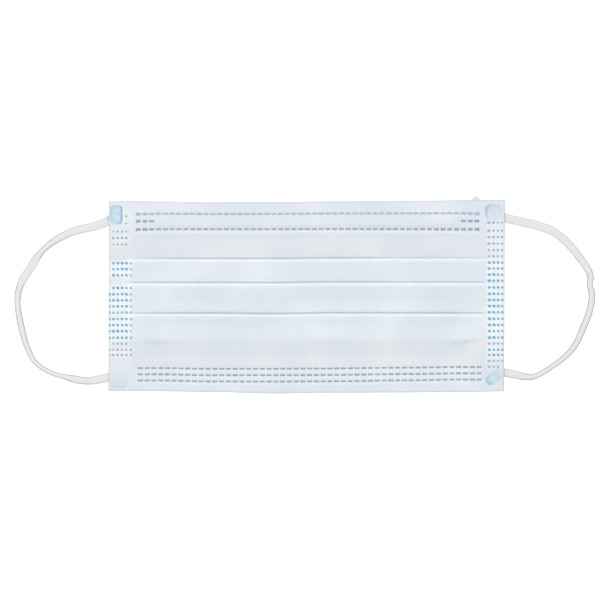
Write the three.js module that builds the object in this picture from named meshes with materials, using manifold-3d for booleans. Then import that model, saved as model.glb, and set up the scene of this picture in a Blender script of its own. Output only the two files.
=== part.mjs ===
// A three-pleat surgical face mask, folded flat and lying outer side down, as it comes out of its box.
// The wearer's side faces up. +X runs along the mask, +Y points to its nose edge, +Z is up.
// Millimetres. The origin lies on the surface that the mask rests on, under the middle of its body.

import * as THREE from "three";
import { mergeVertices } from "three/addons/utils/BufferGeometryUtils.js";
import Module from "manifold-3d";

const wasm = await Module();
wasm.setup();

// The folded sheet: three plies welded into one cloth
const bodyWidth = 175; // from one cut side to the other
const nosePanel = 25.2; // nose edge to the first fold
const upperPanel = 10.6; // first fold to the second
const middlePanel = 13.6; // second fold to the third
const chinPanel = 35.1; // third fold to the chin edge
const pleatDepth = 13; // cloth tucked behind each fold
const hemDepth = 13; // margin turned over to the outer side at both long edges
const clothThickness = 1;
const layerGap = 0.25; // air between folded layers
const drapeSlope = 0.25; // rise over run where cloth comes down off the layers under it
const edgeBow = 0.6; // how far the long edges wander from straight
const sideLean = 0.15; // how far the sides lean to +X at the nose edge, and to -X at the chin edge

// The side seals, where every layer is welded together
const sealWidth = 10;
const sealRamp = 6; // length over which the pleats close into the seal
const sealPress = 0.3; // share of the folded height that the weld leaves

// The nose wire in the nose hem
const wireMargin = 23.5; // cut side of the body to the end of the wire
const wireWidth = 3.6;
const wireThickness = 0.5;
const wireInset = 9; // nose edge to the middle of the wire
const wireClearance = 0.3; // all round, in its pocket
const ridgeSlope = 0.6; // side of the ridge that the wire lifts
const ridgeFade = 4; // length over which the ridge sinks past the wire's ends

// The elastic ear loops, welded under the corners
const bandWidth = 4.8;
const bandThickness = 0.9;
const loopReach = 40; // how far a loop stands out from the body's side
const seatClearance = 0.3; // between a loop's end and the cloth over it

// The weld spots that hold the loops
const spotLength = 8;
const spotWidth = 6.4;
const spotDepth = 0.3;

// How finely the shapes are cut into flat faces
const clothStep = 2.5;
const turnSegments = 4;
const spanCount = 8;
const bandSteps = 64;
const spotSides = 8;
const bandSides = 5; // on either side of a band's section
const flatWithin = 0.03; // a face flatter than this becomes one with its neighbour
const sameWithin = 1e-4; // points closer than this are one

// How far the long edges and the folds between them stand from straight, as shares of edgeBow;
// across is a share of half the width
const bowRows = [
  { across: -1, nose: 0.2, folds: -1.1, chin: 0.9 },
  { across: -0.74, nose: 0.2, folds: -0.9, chin: 0.7 },
  { across: -0.5, nose: -0.45, folds: -0.3, chin: 0.2 },
  { across: -0.15, nose: -0.25, folds: -0.1, chin: -1 },
  { across: 0.1, nose: 0.15, folds: -0.1, chin: -0.45 },
  { across: 0.5, nose: 0.5, folds: -0.4, chin: -0.2 },
  { across: 0.78, nose: 1, folds: -0.9, chin: 0.2 },
  { across: 1, nose: 1, folds: -1.1, chin: 0.7 },
];

// The weld spots: inset from side and edge as shares of spotLength, size as shares of spotLength and
// spotWidth, and turn in degrees
const spotRows = [
  { side: -1, edge: 1, fromSide: 0.41, fromEdge: 0.75, long: 1.04, wide: 0.84, turn: 90 },
  { side: 1, edge: 1, fromSide: 0.63, fromEdge: 0.67, long: 0.92, wide: 1.14, turn: 0 },
  { side: -1, edge: -1, fromSide: 0.56, fromEdge: 0.68, long: 1, wide: 1.15, turn: 0 },
  { side: 1, edge: -1, fromSide: 0.575, fromEdge: 0.8, long: 1.06, wide: 0.58, turn: 40 },
];

// The line that each ear loop follows on the surface, from its nose end to its chin end: out from the
// body's side, as a share of loopReach, and up from its middle, as a share of half its height
const leftRoute = [
  { out: -0.143, up: 0.89 },
  { out: -0.077, up: 0.843 },
  { out: 0, up: 0.798 },
  { out: 0.1, up: 0.757 },
  { out: 0.202, up: 0.729 },
  { out: 0.366, up: 0.693 },
  { out: 0.52, up: 0.63 },
  { out: 0.662, up: 0.544 },
  { out: 0.778, up: 0.433 },
  { out: 0.869, up: 0.298 },
  { out: 0.962, up: 0.159 },
  { out: 1.008, up: -0.005 },
  { out: 0.995, up: -0.173 },
  { out: 0.959, up: -0.341 },
  { out: 0.907, up: -0.514 },
  { out: 0.813, up: -0.682 },
  { out: 0.649, up: -0.788 },
  { out: 0.46, up: -0.843 },
  { out: 0.273, up: -0.878 },
  { out: 0.132, up: -0.869 },
  { out: 0, up: -0.845 },
  { out: -0.098, up: -0.862 },
  { out: -0.175, up: -0.892 },
];
const rightRoute = [
  { out: -0.355, up: 1.022 },
  { out: -0.248, up: 0.951 },
  { out: -0.127, up: 0.885 },
  { out: 0.005, up: 0.828 },
  { out: 0.201, up: 0.783 },
  { out: 0.381, up: 0.743 },
  { out: 0.551, up: 0.677 },
  { out: 0.695, up: 0.566 },
  { out: 0.811, up: 0.438 },
  { out: 0.917, up: 0.298 },
  { out: 0.953, up: 0.208 },
  { out: 0.942, up: 0.13 },
  { out: 0.966, up: 0.04 },
  { out: 0.963, up: -0.052 },
  { out: 0.927, up: -0.192 },
  { out: 0.863, up: -0.341 },
  { out: 0.791, up: -0.49 },
  { out: 0.68, up: -0.618 },
  { out: 0.539, up: -0.72 },
  { out: 0.384, up: -0.812 },
  { out: 0.294, up: -0.838 },
  { out: 0.199, up: -0.831 },
  { out: -0.005, up: -0.793 },
  { out: -0.095, up: -0.819 },
  { out: -0.182, up: -0.871 },
];

// How each band lies: flat, or rolled lengthwise into a narrower and thicker cord. along is a share
// of the route, wide and thick are shares of bandWidth and bandThickness
const leftBand = [
  { along: 0, wide: 1, thick: 1 },
  { along: 0.05, wide: 1, thick: 1 },
  { along: 0.12, wide: 0.86, thick: 1.1 },
  { along: 0.21, wide: 0.66, thick: 1.4 },
  { along: 0.29, wide: 0.5, thick: 1.7 },
  { along: 0.34, wide: 0.9, thick: 1.1 },
  { along: 0.39, wide: 0.9, thick: 1.1 },
  { along: 0.45, wide: 0.56, thick: 1.6 },
  { along: 0.56, wide: 0.68, thick: 1.4 },
  { along: 0.63, wide: 0.6, thick: 1.5 },
  { along: 0.74, wide: 0.48, thick: 1.8 },
  { along: 0.79, wide: 0.46, thick: 1.8 },
  { along: 0.84, wide: 0.88, thick: 1.1 },
  { along: 0.87, wide: 0.7, thick: 1.4 },
  { along: 0.91, wide: 0.9, thick: 1 },
  { along: 1, wide: 0.9, thick: 1 },
];
const rightBand = [
  { along: 0, wide: 1, thick: 1 },
  { along: 0.12, wide: 0.94, thick: 1 },
  { along: 0.2, wide: 1, thick: 1 },
  { along: 0.3, wide: 0.92, thick: 1 },
  { along: 0.34, wide: 0.84, thick: 1.1 },
  { along: 0.37, wide: 0.74, thick: 1.3 },
  { along: 0.42, wide: 0.76, thick: 1.3 },
  { along: 0.48, wide: 0.54, thick: 1.6 },
  { along: 0.52, wide: 0.6, thick: 1.5 },
  { along: 0.58, wide: 0.56, thick: 1.6 },
  { along: 0.63, wide: 0.6, thick: 1.5 },
  { along: 0.73, wide: 0.53, thick: 1.6 },
  { along: 0.79, wide: 0.45, thick: 1.8 },
  { along: 0.83, wide: 0.48, thick: 1.8 },
  { along: 0.87, wide: 0.6, thick: 1.5 },
  { along: 0.9, wide: 0.76, thick: 1.2 },
  { along: 0.94, wide: 0.85, thick: 1 },
  { along: 1, wide: 0.85, thick: 1 },
];

// What follows from the sizes
const noseEdge = (nosePanel + upperPanel + middlePanel + chinPanel) / 2;
const chinEdge = -noseEdge;
const firstFold = noseEdge - nosePanel;
const secondFold = firstFold - upperPanel;
const thirdFold = secondFold - middlePanel;
const sealInner = bodyWidth / 2 - sealWidth;
const foldedEnd = sealInner - sealRamp;
const layerStep = (clothThickness + layerGap) * Math.hypot(1, drapeSlope);
const turnReach = (layerStep + clothThickness) / 2;
const wireLength = bodyWidth - 2 * wireMargin;
const wireLine = noseEdge - wireInset;
const seatLift = bandThickness + seatClearance;

const clothMaterial = new THREE.MeshStandardMaterial({ color: 0xe2e9f2, roughness: 0.9, metalness: 0 });
const wireMaterial = new THREE.MeshStandardMaterial({ color: 0xf0f0ec, roughness: 0.5, metalness: 0 });
const bandMaterial = new THREE.MeshStandardMaterial({ color: 0xe9e9e7, roughness: 0.95, metalness: 0 });

// The value of one column of a table, between the rows on either side of a place
function readTable(rows, placeColumn, place, column) {
  const next = rows.findIndex((row) => row[placeColumn] >= place);
  if (next <= 0) return (next < 0 ? rows.at(-1) : rows[0])[column];
  const [a, b] = [rows[next - 1], rows[next]];
  const share = (place - a[placeColumn]) / (b[placeColumn] - a[placeColumn]);
  return THREE.MathUtils.lerp(a[column], b[column], THREE.MathUtils.smoothstep(share, 0, 1));
}

// Where a point of the straight, level mask goes: its edges and folds bow, its sides lean, and they
// lie on the loops
function settle(x, y, z) {
  const across = x / (bodyWidth / 2);
  const towardsNose = (y - chinEdge) / (noseEdge - chinEdge);
  const noseBow = readTable(bowRows, "across", across, "nose");
  const chinBow = readTable(bowRows, "across", across, "chin");
  const foldBow = readTable(bowRows, "across", across, "folds") * 4 * towardsNose * (1 - towardsNose);
  const bow = edgeBow * (THREE.MathUtils.lerp(chinBow, noseBow, towardsNose) + foldBow);
  const lift = seatLift * THREE.MathUtils.smoothstep(Math.abs(x), wireLength / 2, foldedEnd);
  const lean = sideLean * THREE.MathUtils.lerp(-1, 1, towardsNose);
  return new THREE.Vector3(x + lean, y + bow, Math.max(0, z) + lift);
}

// A closed solid through rings of as many points each, turning anticlockwise seen from the last ring
function loft(rings) {
  const count = rings[0].length;
  const index = [];
  for (let ring = 0; ring < rings.length - 1; ring++) {
    for (let k = 0; k < count; k++) {
      const [a, b] = [ring * count + k, ring * count + ((k + 1) % count)];
      index.push(a, b, b + count, a, b + count, a + count);
    }
  }
  const contour = rings[0].map((p) => new THREE.Vector2(p.y, p.z));
  const last = (rings.length - 1) * count;
  for (const [a, b, c] of THREE.ShapeUtils.triangulateShape(contour, [])) {
    index.push(a, c, b, last + a, last + b, last + c);
  }
  return new THREE.BufferGeometry().setFromPoints(rings.flat()).setIndex(index);
}

function toSolid(geometry) {
  const bare = geometry.clone();
  bare.deleteAttribute("normal");
  bare.deleteAttribute("uv");
  const merged = mergeVertices(bare, sameWithin);
  const vertProperties = new Float32Array(merged.getAttribute("position").array);
  const triVerts = new Uint32Array(merged.index.array);
  return new wasm.Manifold(new wasm.Mesh({ numProp: 3, vertProperties, triVerts }));
}

function toGeometry(solid) {
  const { vertProperties, triVerts } = solid.getMesh();
  const geometry = new THREE.BufferGeometry();
  geometry.setAttribute("position", new THREE.BufferAttribute(vertProperties, 3));
  geometry.setIndex(new THREE.BufferAttribute(triVerts, 1));
  geometry.computeVertexNormals();
  return geometry;
}

// The sheet's runs, nose hem first, each between two turns of the cloth. low and high bound the
// straight part, and end and start are the turns, or the cut margins of the hems
const turns = [
  noseEdge - hemDepth,
  noseEdge,
  firstFold - pleatDepth,
  firstFold,
  secondFold - pleatDepth,
  secondFold,
  thirdFold - pleatDepth,
  thirdFold,
  chinEdge,
  chinEdge + hemDepth,
];
const runs = turns.slice(1).map((end, i) => {
  const start = turns[i];
  const [startInset, endInset] = [i === 0 ? 0 : turnReach, i === turns.length - 2 ? 0 : turnReach];
  const way = Math.sign(end - start);
  const ends = [start + way * startInset, end - way * endInset];
  const bounds = [Math.min(start, end), Math.max(start, end)];
  return { way, bounds, low: Math.min(...ends), high: Math.max(...ends) };
});

// From the surface up: both turned hems, then the runs in their own order
const noseHem = runs[0];
const chinHem = runs.at(-1);
const nosePanelRun = runs[1];
const stack = [noseHem, chinHem, ...runs.slice(1, -1)];

// The places along Y where the cloth's heights are worked out
const ridgeFoot = wireWidth / 2 + wireClearance;
const runEnds = stack.flatMap((run) => [run.low, run.high]);
const keyPlaces = [...runEnds, wireLine - ridgeFoot, wireLine + ridgeFoot];
const evenPlaces = Array.from(
  { length: Math.floor((noseEdge - chinEdge) / clothStep) },
  (_, i) => chinEdge + (i + 0.5) * clothStep,
);
const places = [
  ...keyPlaces,
  ...evenPlaces.filter((y) => keyPlaces.every((key) => Math.abs(key - y) > clothStep / 3)),
].sort((a, b) => a - b);

// The height of the middle of every run at its places: each lies on what is under it, and comes
// down at the drape slope where that ends. ridge is the share of the wire's height that shows
function layHeights(ridge) {
  const heights = new Map();
  const onWire = ridge * (wireThickness + 2 * wireClearance - layerGap);
  for (const run of stack) {
    const laid = [...heights.entries()];
    const over = (y) => {
      const supports = laid.map(([under, heightAt]) => {
        const nearest = THREE.MathUtils.clamp(y, under.low, under.high);
        return heightAt.get(nearest) + layerStep - drapeSlope * Math.abs(y - nearest);
      });
      const height = Math.max(clothThickness / 2, ...supports);
      if (run !== nosePanelRun) return height;
      const pastWire = Math.max(0, Math.abs(y - wireLine) - ridgeFoot);
      return height + Math.max(0, onWire - ridgeSlope * pastWire);
    };
    const inside = places.filter((y) => y >= run.low && y <= run.high);
    heights.set(run, new Map(inside.map((y) => [y, over(y)])));
  }
  return heights;
}

// The middle line of the folded cloth, in order along the cloth, as points (y, z)
function clothLine(heights) {
  const line = [];
  runs.forEach((run, i) => {
    const along = [...heights.get(run).entries()];
    if (run.way < 0) along.reverse();
    line.push(...along.map(([y, z]) => new THREE.Vector2(y, z)));
    if (i === runs.length - 1) return;
    const from = line.at(-1);
    const to = heights.get(runs[i + 1]).get(from.x);
    for (let k = 1; k < turnSegments; k++) {
      const angle = (Math.PI * k) / turnSegments;
      const y = from.x + (run.way * layerStep * Math.sin(angle)) / 2;
      const z = THREE.MathUtils.lerp(from.y, to, (1 - Math.cos(angle)) / 2);
      line.push(new THREE.Vector2(y, z));
    }
  });
  return line;
}

// The outline of a wall of the cloth's thickness around a line
function wallOutline(line) {
  const sides = [[], []];
  line.forEach((point, i) => {
    const before = (line[i - 1] ?? point).clone();
    const after = (line[i + 1] ?? point).clone();
    const into = point.clone().sub(before).normalize();
    const out = after.sub(point).normalize();
    const normals = [into, out].filter((d) => d.lengthSq() > 0).map((d) => new THREE.Vector2(-d.y, d.x));
    const miter = normals[0].clone().add(normals.at(-1));
    miter.multiplyScalar(clothThickness / miter.dot(normals[0]) / 2);
    sides[0].push(point.clone().add(miter));
    sides[1].push(point.clone().sub(miter));
  });
  const outline = [...sides[0], ...sides[1].reverse()];
  return THREE.ShapeUtils.isClockWise(outline) ? outline.reverse() : outline;
}

// The folded part of the sheet, its pleats open between the seals
function foldedSheet() {
  const halfWire = wireLength / 2;
  const spans = Array.from({ length: spanCount + 1 }, (_, i) => halfWire * ((2 * i) / spanCount - 1));
  const rampMiddle = (halfWire + ridgeFade + foldedEnd) / 2;
  const ends = [halfWire + ridgeFade, rampMiddle, foldedEnd];
  const stations = [...ends.map((x) => -x).reverse(), ...spans, ...ends];
  const outlines = [0, 1].map((ridge) => wallOutline(clothLine(layHeights(ridge))));
  const rings = stations.map((x) => {
    const outline = outlines[Math.abs(x) > halfWire ? 0 : 1];
    return outline.map((p) => new THREE.Vector3(x, p.x, p.y));
  });
  return toSolid(loft(rings));
}

// What shows of the folded stack from above and from below: heights at each place, from chin to nose
function stackEnvelope() {
  const heights = layHeights(0);
  const inset = clothThickness / 2;
  const steps = turns.flatMap((y) => [y - inset, y, y + inset]).filter((y) => y > chinEdge && y < noseEdge);
  const rows = [...new Set([...places, ...steps])].sort((a, b) => a - b).map((y) => {
    const there = stack.filter((run) => {
      return y > run.bounds[0] + inset - sameWithin && y < run.bounds[1] - inset + sameWithin;
    });
    const levels = there.map((run) => {
      return interpolate(heights.get(run), THREE.MathUtils.clamp(y, run.low, run.high));
    });
    return { y, bottom: Math.min(...levels) - inset, top: Math.max(...levels) + inset };
  });
  return rows.filter((row) => Number.isFinite(row.top));
}

function interpolate(heightAt, y) {
  const known = [...heightAt.keys()];
  const next = Math.max(1, known.findIndex((key) => key >= y));
  const [a, b] = [known[next - 1], known[next]];
  return THREE.MathUtils.mapLinear(y, a, b, heightAt.get(a), heightAt.get(b));
}

// One side seal: the whole stack pressed into a solid strip, with the ramp that leads into it
function sideSeal(side) {
  const envelope = stackEnvelope();
  const tuck = clothThickness / 7; // keeps the start inside the folded sheet
  const overlap = clothThickness;
  const sections = [
    { x: foldedEnd - overlap, press: 1, tuck },
    { x: foldedEnd, press: 1, tuck },
    { x: sealInner, press: sealPress, tuck: 0 },
    { x: bodyWidth / 2, press: sealPress, tuck: 0 },
  ];
  const rings = sections.map((section) => {
    const x = side * section.x;
    const pressed = envelope.map((row) => ({
      y: row.y,
      bottom: row.bottom * section.press + section.tuck,
      top: clothThickness + (row.top - clothThickness) * section.press - section.tuck,
    }));
    const [chin, nose] = [pressed[0], pressed.at(-1)];
    return [
      new THREE.Vector3(x, chinEdge + section.tuck, (chin.bottom + chin.top) / 2),
      ...pressed.map((row) => new THREE.Vector3(x, row.y, row.bottom)),
      new THREE.Vector3(x, noseEdge - section.tuck, (nose.bottom + nose.top) / 2),
      ...pressed.reverse().map((row) => new THREE.Vector3(x, row.y, row.top)),
    ];
  });
  return toSolid(loft(side < 0 ? rings.reverse() : rings));
}

// The dents that the loop welds leave on the wearer's side
function weldSpots() {
  const cornerTop = seatLift + clothThickness + sealPress * layerStep;
  return spotRows.map((row) => {
    const shape = new THREE.Shape();
    shape.absellipse(0, 0, (spotLength * row.long) / 2, (spotWidth * row.wide) / 2, 0, 2 * Math.PI);
    const settings = { depth: clothThickness, bevelEnabled: false, curveSegments: spotSides };
    const spot = new THREE.ExtrudeGeometry(shape, settings);
    spot.rotateZ(THREE.MathUtils.degToRad(row.turn));
    spot.translate(
      row.side * (bodyWidth / 2 - row.fromSide * spotLength) + row.edge * sideLean,
      row.edge * (noseEdge - row.fromEdge * spotLength),
      cornerTop - spotDepth,
    );
    return toSolid(spot);
  });
}

// The whole body: joined while it is straight and level, then settled, then dented by the welds
function maskBody() {
  const straight = toGeometry(foldedSheet().add(sideSeal(-1)).add(sideSeal(1)));
  const corners = straight.getAttribute("position");
  for (let i = 0; i < corners.count; i++) {
    const place = settle(corners.getX(i), corners.getY(i), corners.getZ(i));
    corners.setXYZ(i, place.x, place.y, place.z);
  }
  let body = toSolid(straight).simplify(flatWithin);
  for (const spot of weldSpots()) body = body.subtract(spot);
  return toGeometry(body);
}

// A flat strip with round edges, lying in the nose hem
function noseWire() {
  const middle = clothThickness + wireClearance + wireThickness / 2;
  const shape = new THREE.Shape();
  const straight = (wireWidth - wireThickness) / 2;
  shape.absarc(straight, 0, wireThickness / 2, -Math.PI / 2, Math.PI / 2);
  shape.absarc(-straight, 0, wireThickness / 2, Math.PI / 2, (3 * Math.PI) / 2);
  const section = shape.extractPoints(turnSegments).shape.slice(0, -1);
  const rings = Array.from({ length: spanCount + 1 }, (_, i) => {
    const x = wireLength * (i / spanCount - 0.5);
    return section.map((p) => settle(x, wireLine + p.x, middle + p.y));
  });
  return loft(rings);
}

// An elastic band along its route: a straight bar of unit section, bent along the route and given
// the width and thickness of each place
function earLoop(side, route, rows) {
  const points = route.map((row) => {
    return new THREE.Vector3(side * (bodyWidth / 2 + row.out * loopReach), row.up * noseEdge, 0);
  });
  const curve = new THREE.CatmullRomCurve3(points);
  const shape = new THREE.Shape();
  shape.absellipse(0, 0, 0.5, 0.5, 0, 2 * Math.PI);
  const settings = { steps: bandSteps, depth: 1, curveSegments: bandSides, bevelEnabled: false };
  const bar = new THREE.ExtrudeGeometry(shape, settings);
  const corners = bar.getAttribute("position");
  for (let i = 0; i < corners.count; i++) {
    const along = THREE.MathUtils.clamp(corners.getZ(i), 0, 1);
    const wide = bandWidth * readTable(rows, "along", along, "wide");
    const thick = bandThickness * readTable(rows, "along", along, "thick");
    const centre = curve.getPointAt(along);
    const forward = curve.getTangentAt(along);
    const left = new THREE.Vector3(-forward.y, forward.x, 0);
    const flat = squared(corners.getX(i), corners.getY(i));
    const point = centre.addScaledVector(left, wide * flat.x).setZ(thick * (0.5 + flat.y));
    corners.setXYZ(i, point.x, point.y, point.z);
  }
  return bar;
}

// A point of the unit circle's half radius moved out towards the square around it
function squared(x, y) {
  const fullness = 0.6;
  const out = 1 / Math.max(Math.abs(x), Math.abs(y)) / 2;
  return new THREE.Vector2(x, y).multiplyScalar(THREE.MathUtils.lerp(1, out, fullness));
}

function piece(name, geometry, material) {
  const mesh = new THREE.Mesh(geometry, material);
  mesh.name = name;
  return mesh;
}

const mask = new THREE.Group();
mask.add(
  piece("mask_body", maskBody(), clothMaterial),
  piece("nose_wire", noseWire(), wireMaterial),
  piece("ear_loop_left", earLoop(-1, leftRoute, leftBand), bandMaterial),
  piece("ear_loop_right", earLoop(1, rightRoute, rightBand), bandMaterial),
);

export default mask;
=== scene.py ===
import math
from collections import namedtuple

import bmesh
import bpy
import numpy as np
from mathutils import Matrix, Vector


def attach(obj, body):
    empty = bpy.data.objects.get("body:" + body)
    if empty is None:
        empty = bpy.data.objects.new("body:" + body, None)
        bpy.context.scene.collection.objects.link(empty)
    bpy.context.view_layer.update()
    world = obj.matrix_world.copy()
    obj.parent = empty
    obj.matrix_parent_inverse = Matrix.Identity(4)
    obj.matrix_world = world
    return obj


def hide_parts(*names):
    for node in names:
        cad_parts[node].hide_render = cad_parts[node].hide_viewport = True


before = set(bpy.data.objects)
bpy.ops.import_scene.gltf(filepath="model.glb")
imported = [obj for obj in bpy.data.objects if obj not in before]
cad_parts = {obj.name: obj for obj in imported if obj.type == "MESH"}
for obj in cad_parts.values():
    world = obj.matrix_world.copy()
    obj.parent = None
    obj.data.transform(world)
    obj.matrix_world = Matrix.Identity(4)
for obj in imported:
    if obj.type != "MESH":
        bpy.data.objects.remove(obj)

bl_info = {
    "name": "Pleated Face Mask",
    "version": (1, 0, 0),
    "blender": (4, 5, 0),
    "location": "3D View > Sidebar > Face Mask",
    "description": "Dresses a flat surgical face mask: two plies, welds, nose wire and ear loops",
    "category": "Object",
}

MM = 0.001
WHITE = (1.0, 1.0, 1.0)


def table(columns, *rows):
    """A table with named columns, from the values of its rows."""
    row_type = namedtuple("Row", columns)
    return [row_type(*row) for row in rows]


# How far the long edges and the middle between them stand from straight, and how far the chin's
# seams stand from the middle between straight and that edge, as shares of the edge bow. across is a
# share of half the body's width.
BOW_ROWS = table(
    "across nose folds chin seams",
    (-1.0, 0.2, -1.1, 0.9, 0.2),
    (-0.74, 0.2, -0.9, 0.7, 0.1),
    (-0.5, -0.45, -0.3, 0.2, -0.44),
    (-0.15, -0.25, -0.1, -1.0, -0.07),
    (0.1, 0.15, -0.1, -0.45, -0.15),
    (0.5, 0.5, -0.4, -0.2, 0.5),
    (0.78, 1.0, -0.9, 0.2, 1.0),
    (1.0, 1.0, -1.1, 0.7, 1.0),
)

# The dashed seams: how far each lies from its long edge, where it starts and ends along X, in
# millimetres, how wide its dashes are, whether they are pale, and how white the cloth is beside them,
# partly from drawn fibres and partly as a painted highlight.
SEAM_ROWS = table(
    "edge inset start end wide pale white",
    (1, 5.65, -76.0, 76.7, 1.55, True, 0.25),
    (1, 8.8, -76.0, -67.0, 1.3, False, 0.3),
    (1, 8.8, 67.7, 76.7, 1.3, False, 0.3),
    (1, 12.35, -76.0, 76.7, 1.4, False, 0.85),
    (-1, 10.75, -74.85, 77.85, 0.95, False, 0.55),
    (-1, 7.9, -74.85, 77.85, 0.95, False, 0.55),
    (-1, 5.1, -74.85, 77.85, 0.95, False, 0.55),
)

# The columns of weld dots in the side seals: which side, the distance from the cut side at the top
# and at the bottom of the body, in millimetres, how strongly they are pressed, how much wider than
# high they are, and whether only the column's lowest part has dots.
DOT_COLUMNS = table(
    "side top bottom press wide lowest",
    (-1, 0.3, 0.75, 0.75, 0.75, True),
    (-1, 2.0, 2.25, 0.95, 1.0, False),
    (-1, 3.9, 4.15, 1.0, 1.05, False),
    (-1, 5.8, 6.05, 1.0, 1.1, False),
    (-1, 7.7, 8.0, 0.95, 1.0, False),
    (-1, 9.7, 10.0, 0.5, 1.0, False),
    (1, 1.35, 0.85, 0.85, 0.9, False),
    (1, 3.15, 2.65, 0.95, 1.0, False),
    (1, 5.1, 4.6, 1.0, 1.15, False),
    (1, 7.2, 6.65, 0.95, 1.4, False),
)

# The rows of those dots: how far above the middle of the body, in millimetres, and how strongly
# each is pressed on the left and on the right.
DOT_ROWS = table(
    "up left right",
    *((35.6, 0.32, 0.0), (32.5, 0.32, 0.5), (29.0, 0.4, 0.6), (26.2, 0.54, 0.75)),
    *((23.4, 0.45, 0.65), (20.6, 0.1, 0.55), (17.9, 0.0, 0.5), (15.1, 0.95, 1.0)),
    *((12.5, 1.0, 1.0), (9.8, 0.9, 1.0), (7.2, 0.1, 0.8), (4.2, 1.0, 1.0), (1.4, 1.0, 1.0)),
    *((-1.3, 1.0, 1.0), (-4.0, 0.95, 1.0), (-6.7, 0.7, 0.9), (-9.6, 0.95, 1.0)),
    *((-12.4, 1.0, 1.0), (-15.1, 1.0, 1.0), (-18.0, 0.9, 0.95), (-20.6, 0.32, 0.62)),
    *((-23.4, 0.65, 0.82), (-25.8, 0.6, 0.84), (-28.4, 0.0, 0.4), (-31.0, 0.0, 0.3)),
)

# The welds that hold the loops: inset from side and edge as shares of the spot's length, size as
# shares of its length and width, turn in degrees, how square it is, how well it took, how strong its
# rim is and which way the rim faces, and how far and which way it breaks up into specks.
SPOTS = table(
    "side edge from_side from_edge long wide turn square strength rim rim_way specks specks_way",
    (-1, 1, 0.41, 0.75, 1.04, 0.84, 90.0, 6.0, 0.85, 1.0, -8.0, -0.15, -90.0),
    (1, 1, 0.63, 0.67, 0.92, 1.14, 0.0, 2.8, 0.5, 0.6, 180.0, 0.7, -70.0),
    (-1, -1, 0.56, 0.58, 1.0, 1.05, 0.0, 3.0, 0.6, 0.15, 90.0, 1.1, 90.0),
    (1, -1, 0.56, 0.8, 1.0, 0.76, 40.0, 3.0, 0.6, 0.5, 200.0, 0.1, 40.0),
)

# The line that each ear loop follows, from its nose end to its chin end: out from the body's side,
# as a share of the loop's reach, and up, as a share of half the body's height.
LEFT_ROUTE = [
    *((-0.143, 0.89), (-0.077, 0.843), (0, 0.798), (0.1, 0.757), (0.202, 0.729), (0.366, 0.693)),
    *((0.52, 0.63), (0.662, 0.544), (0.778, 0.433), (0.869, 0.298), (0.962, 0.159)),
    *((1.008, -0.005), (0.995, -0.173), (0.959, -0.341), (0.907, -0.514), (0.813, -0.682)),
    *((0.649, -0.788), (0.46, -0.843), (0.273, -0.878), (0.132, -0.869), (0, -0.845)),
    *((-0.098, -0.862), (-0.175, -0.892)),
]
RIGHT_ROUTE = [
    *((-0.355, 1.022), (-0.248, 0.951), (-0.127, 0.885), (0.005, 0.828), (0.201, 0.783)),
    *((0.381, 0.743), (0.551, 0.677), (0.695, 0.566), (0.811, 0.438), (0.917, 0.298)),
    *((0.953, 0.208), (0.942, 0.13), (0.966, 0.04), (0.963, -0.052), (0.927, -0.192)),
    *((0.863, -0.341), (0.791, -0.49), (0.68, -0.618), (0.539, -0.72), (0.384, -0.812)),
    *((0.294, -0.838), (0.199, -0.831), (-0.005, -0.793), (-0.095, -0.819), (-0.182, -0.871)),
]

# How each band lies: curl is the angle that its section bends through, in degrees, at a share of the
# way along.
LEFT_BAND = table(
    "along curl",
    *((0, 15), (0.05, 15), (0.122, 75), (0.208, 120), (0.289, 225), (0.342, 70), (0.393, 60)),
    *((0.446, 190), (0.487, 225), (0.56, 190), (0.633, 230), (0.688, 280), (0.744, 295)),
    *((0.783, 295), (0.842, 115), (0.87, 150), (0.906, 75), (0.944, 60), (1, 60)),
)
RIGHT_BAND = table(
    "along curl",
    *((0, 15), (0.122, 50), (0.203, 30), (0.246, 50), (0.296, 60), (0.344, 85), (0.373, 110)),
    *((0.415, 120), (0.454, 190), (0.484, 225), (0.517, 190), (0.579, 190), (0.629, 185)),
    *((0.676, 200), (0.728, 235), (0.793, 260), (0.834, 255), (0.869, 190), (0.904, 125)),
    *((0.938, 95), (1, 60)),
)


def length(name, description, millimetres):
    """A size property, whose default is given in millimetres."""
    return bpy.props.FloatProperty(
        name=name,
        description=description,
        default=millimetres * MM,
        min=0.0,
        precision=5,
        subtype="DISTANCE",
        unit="LENGTH",
    )


def share(name, description, value):
    """A property for a plain number from nought to one."""
    return bpy.props.FloatProperty(
        name=name, description=description, default=value, min=0.0, max=1.0, subtype="FACTOR"
    )


def colour(name, description, value):
    """A colour property, in linear light."""
    return bpy.props.FloatVectorProperty(
        name=name, description=description, default=value, size=3, min=0.0, max=1.0, subtype="COLOR"
    )


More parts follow.
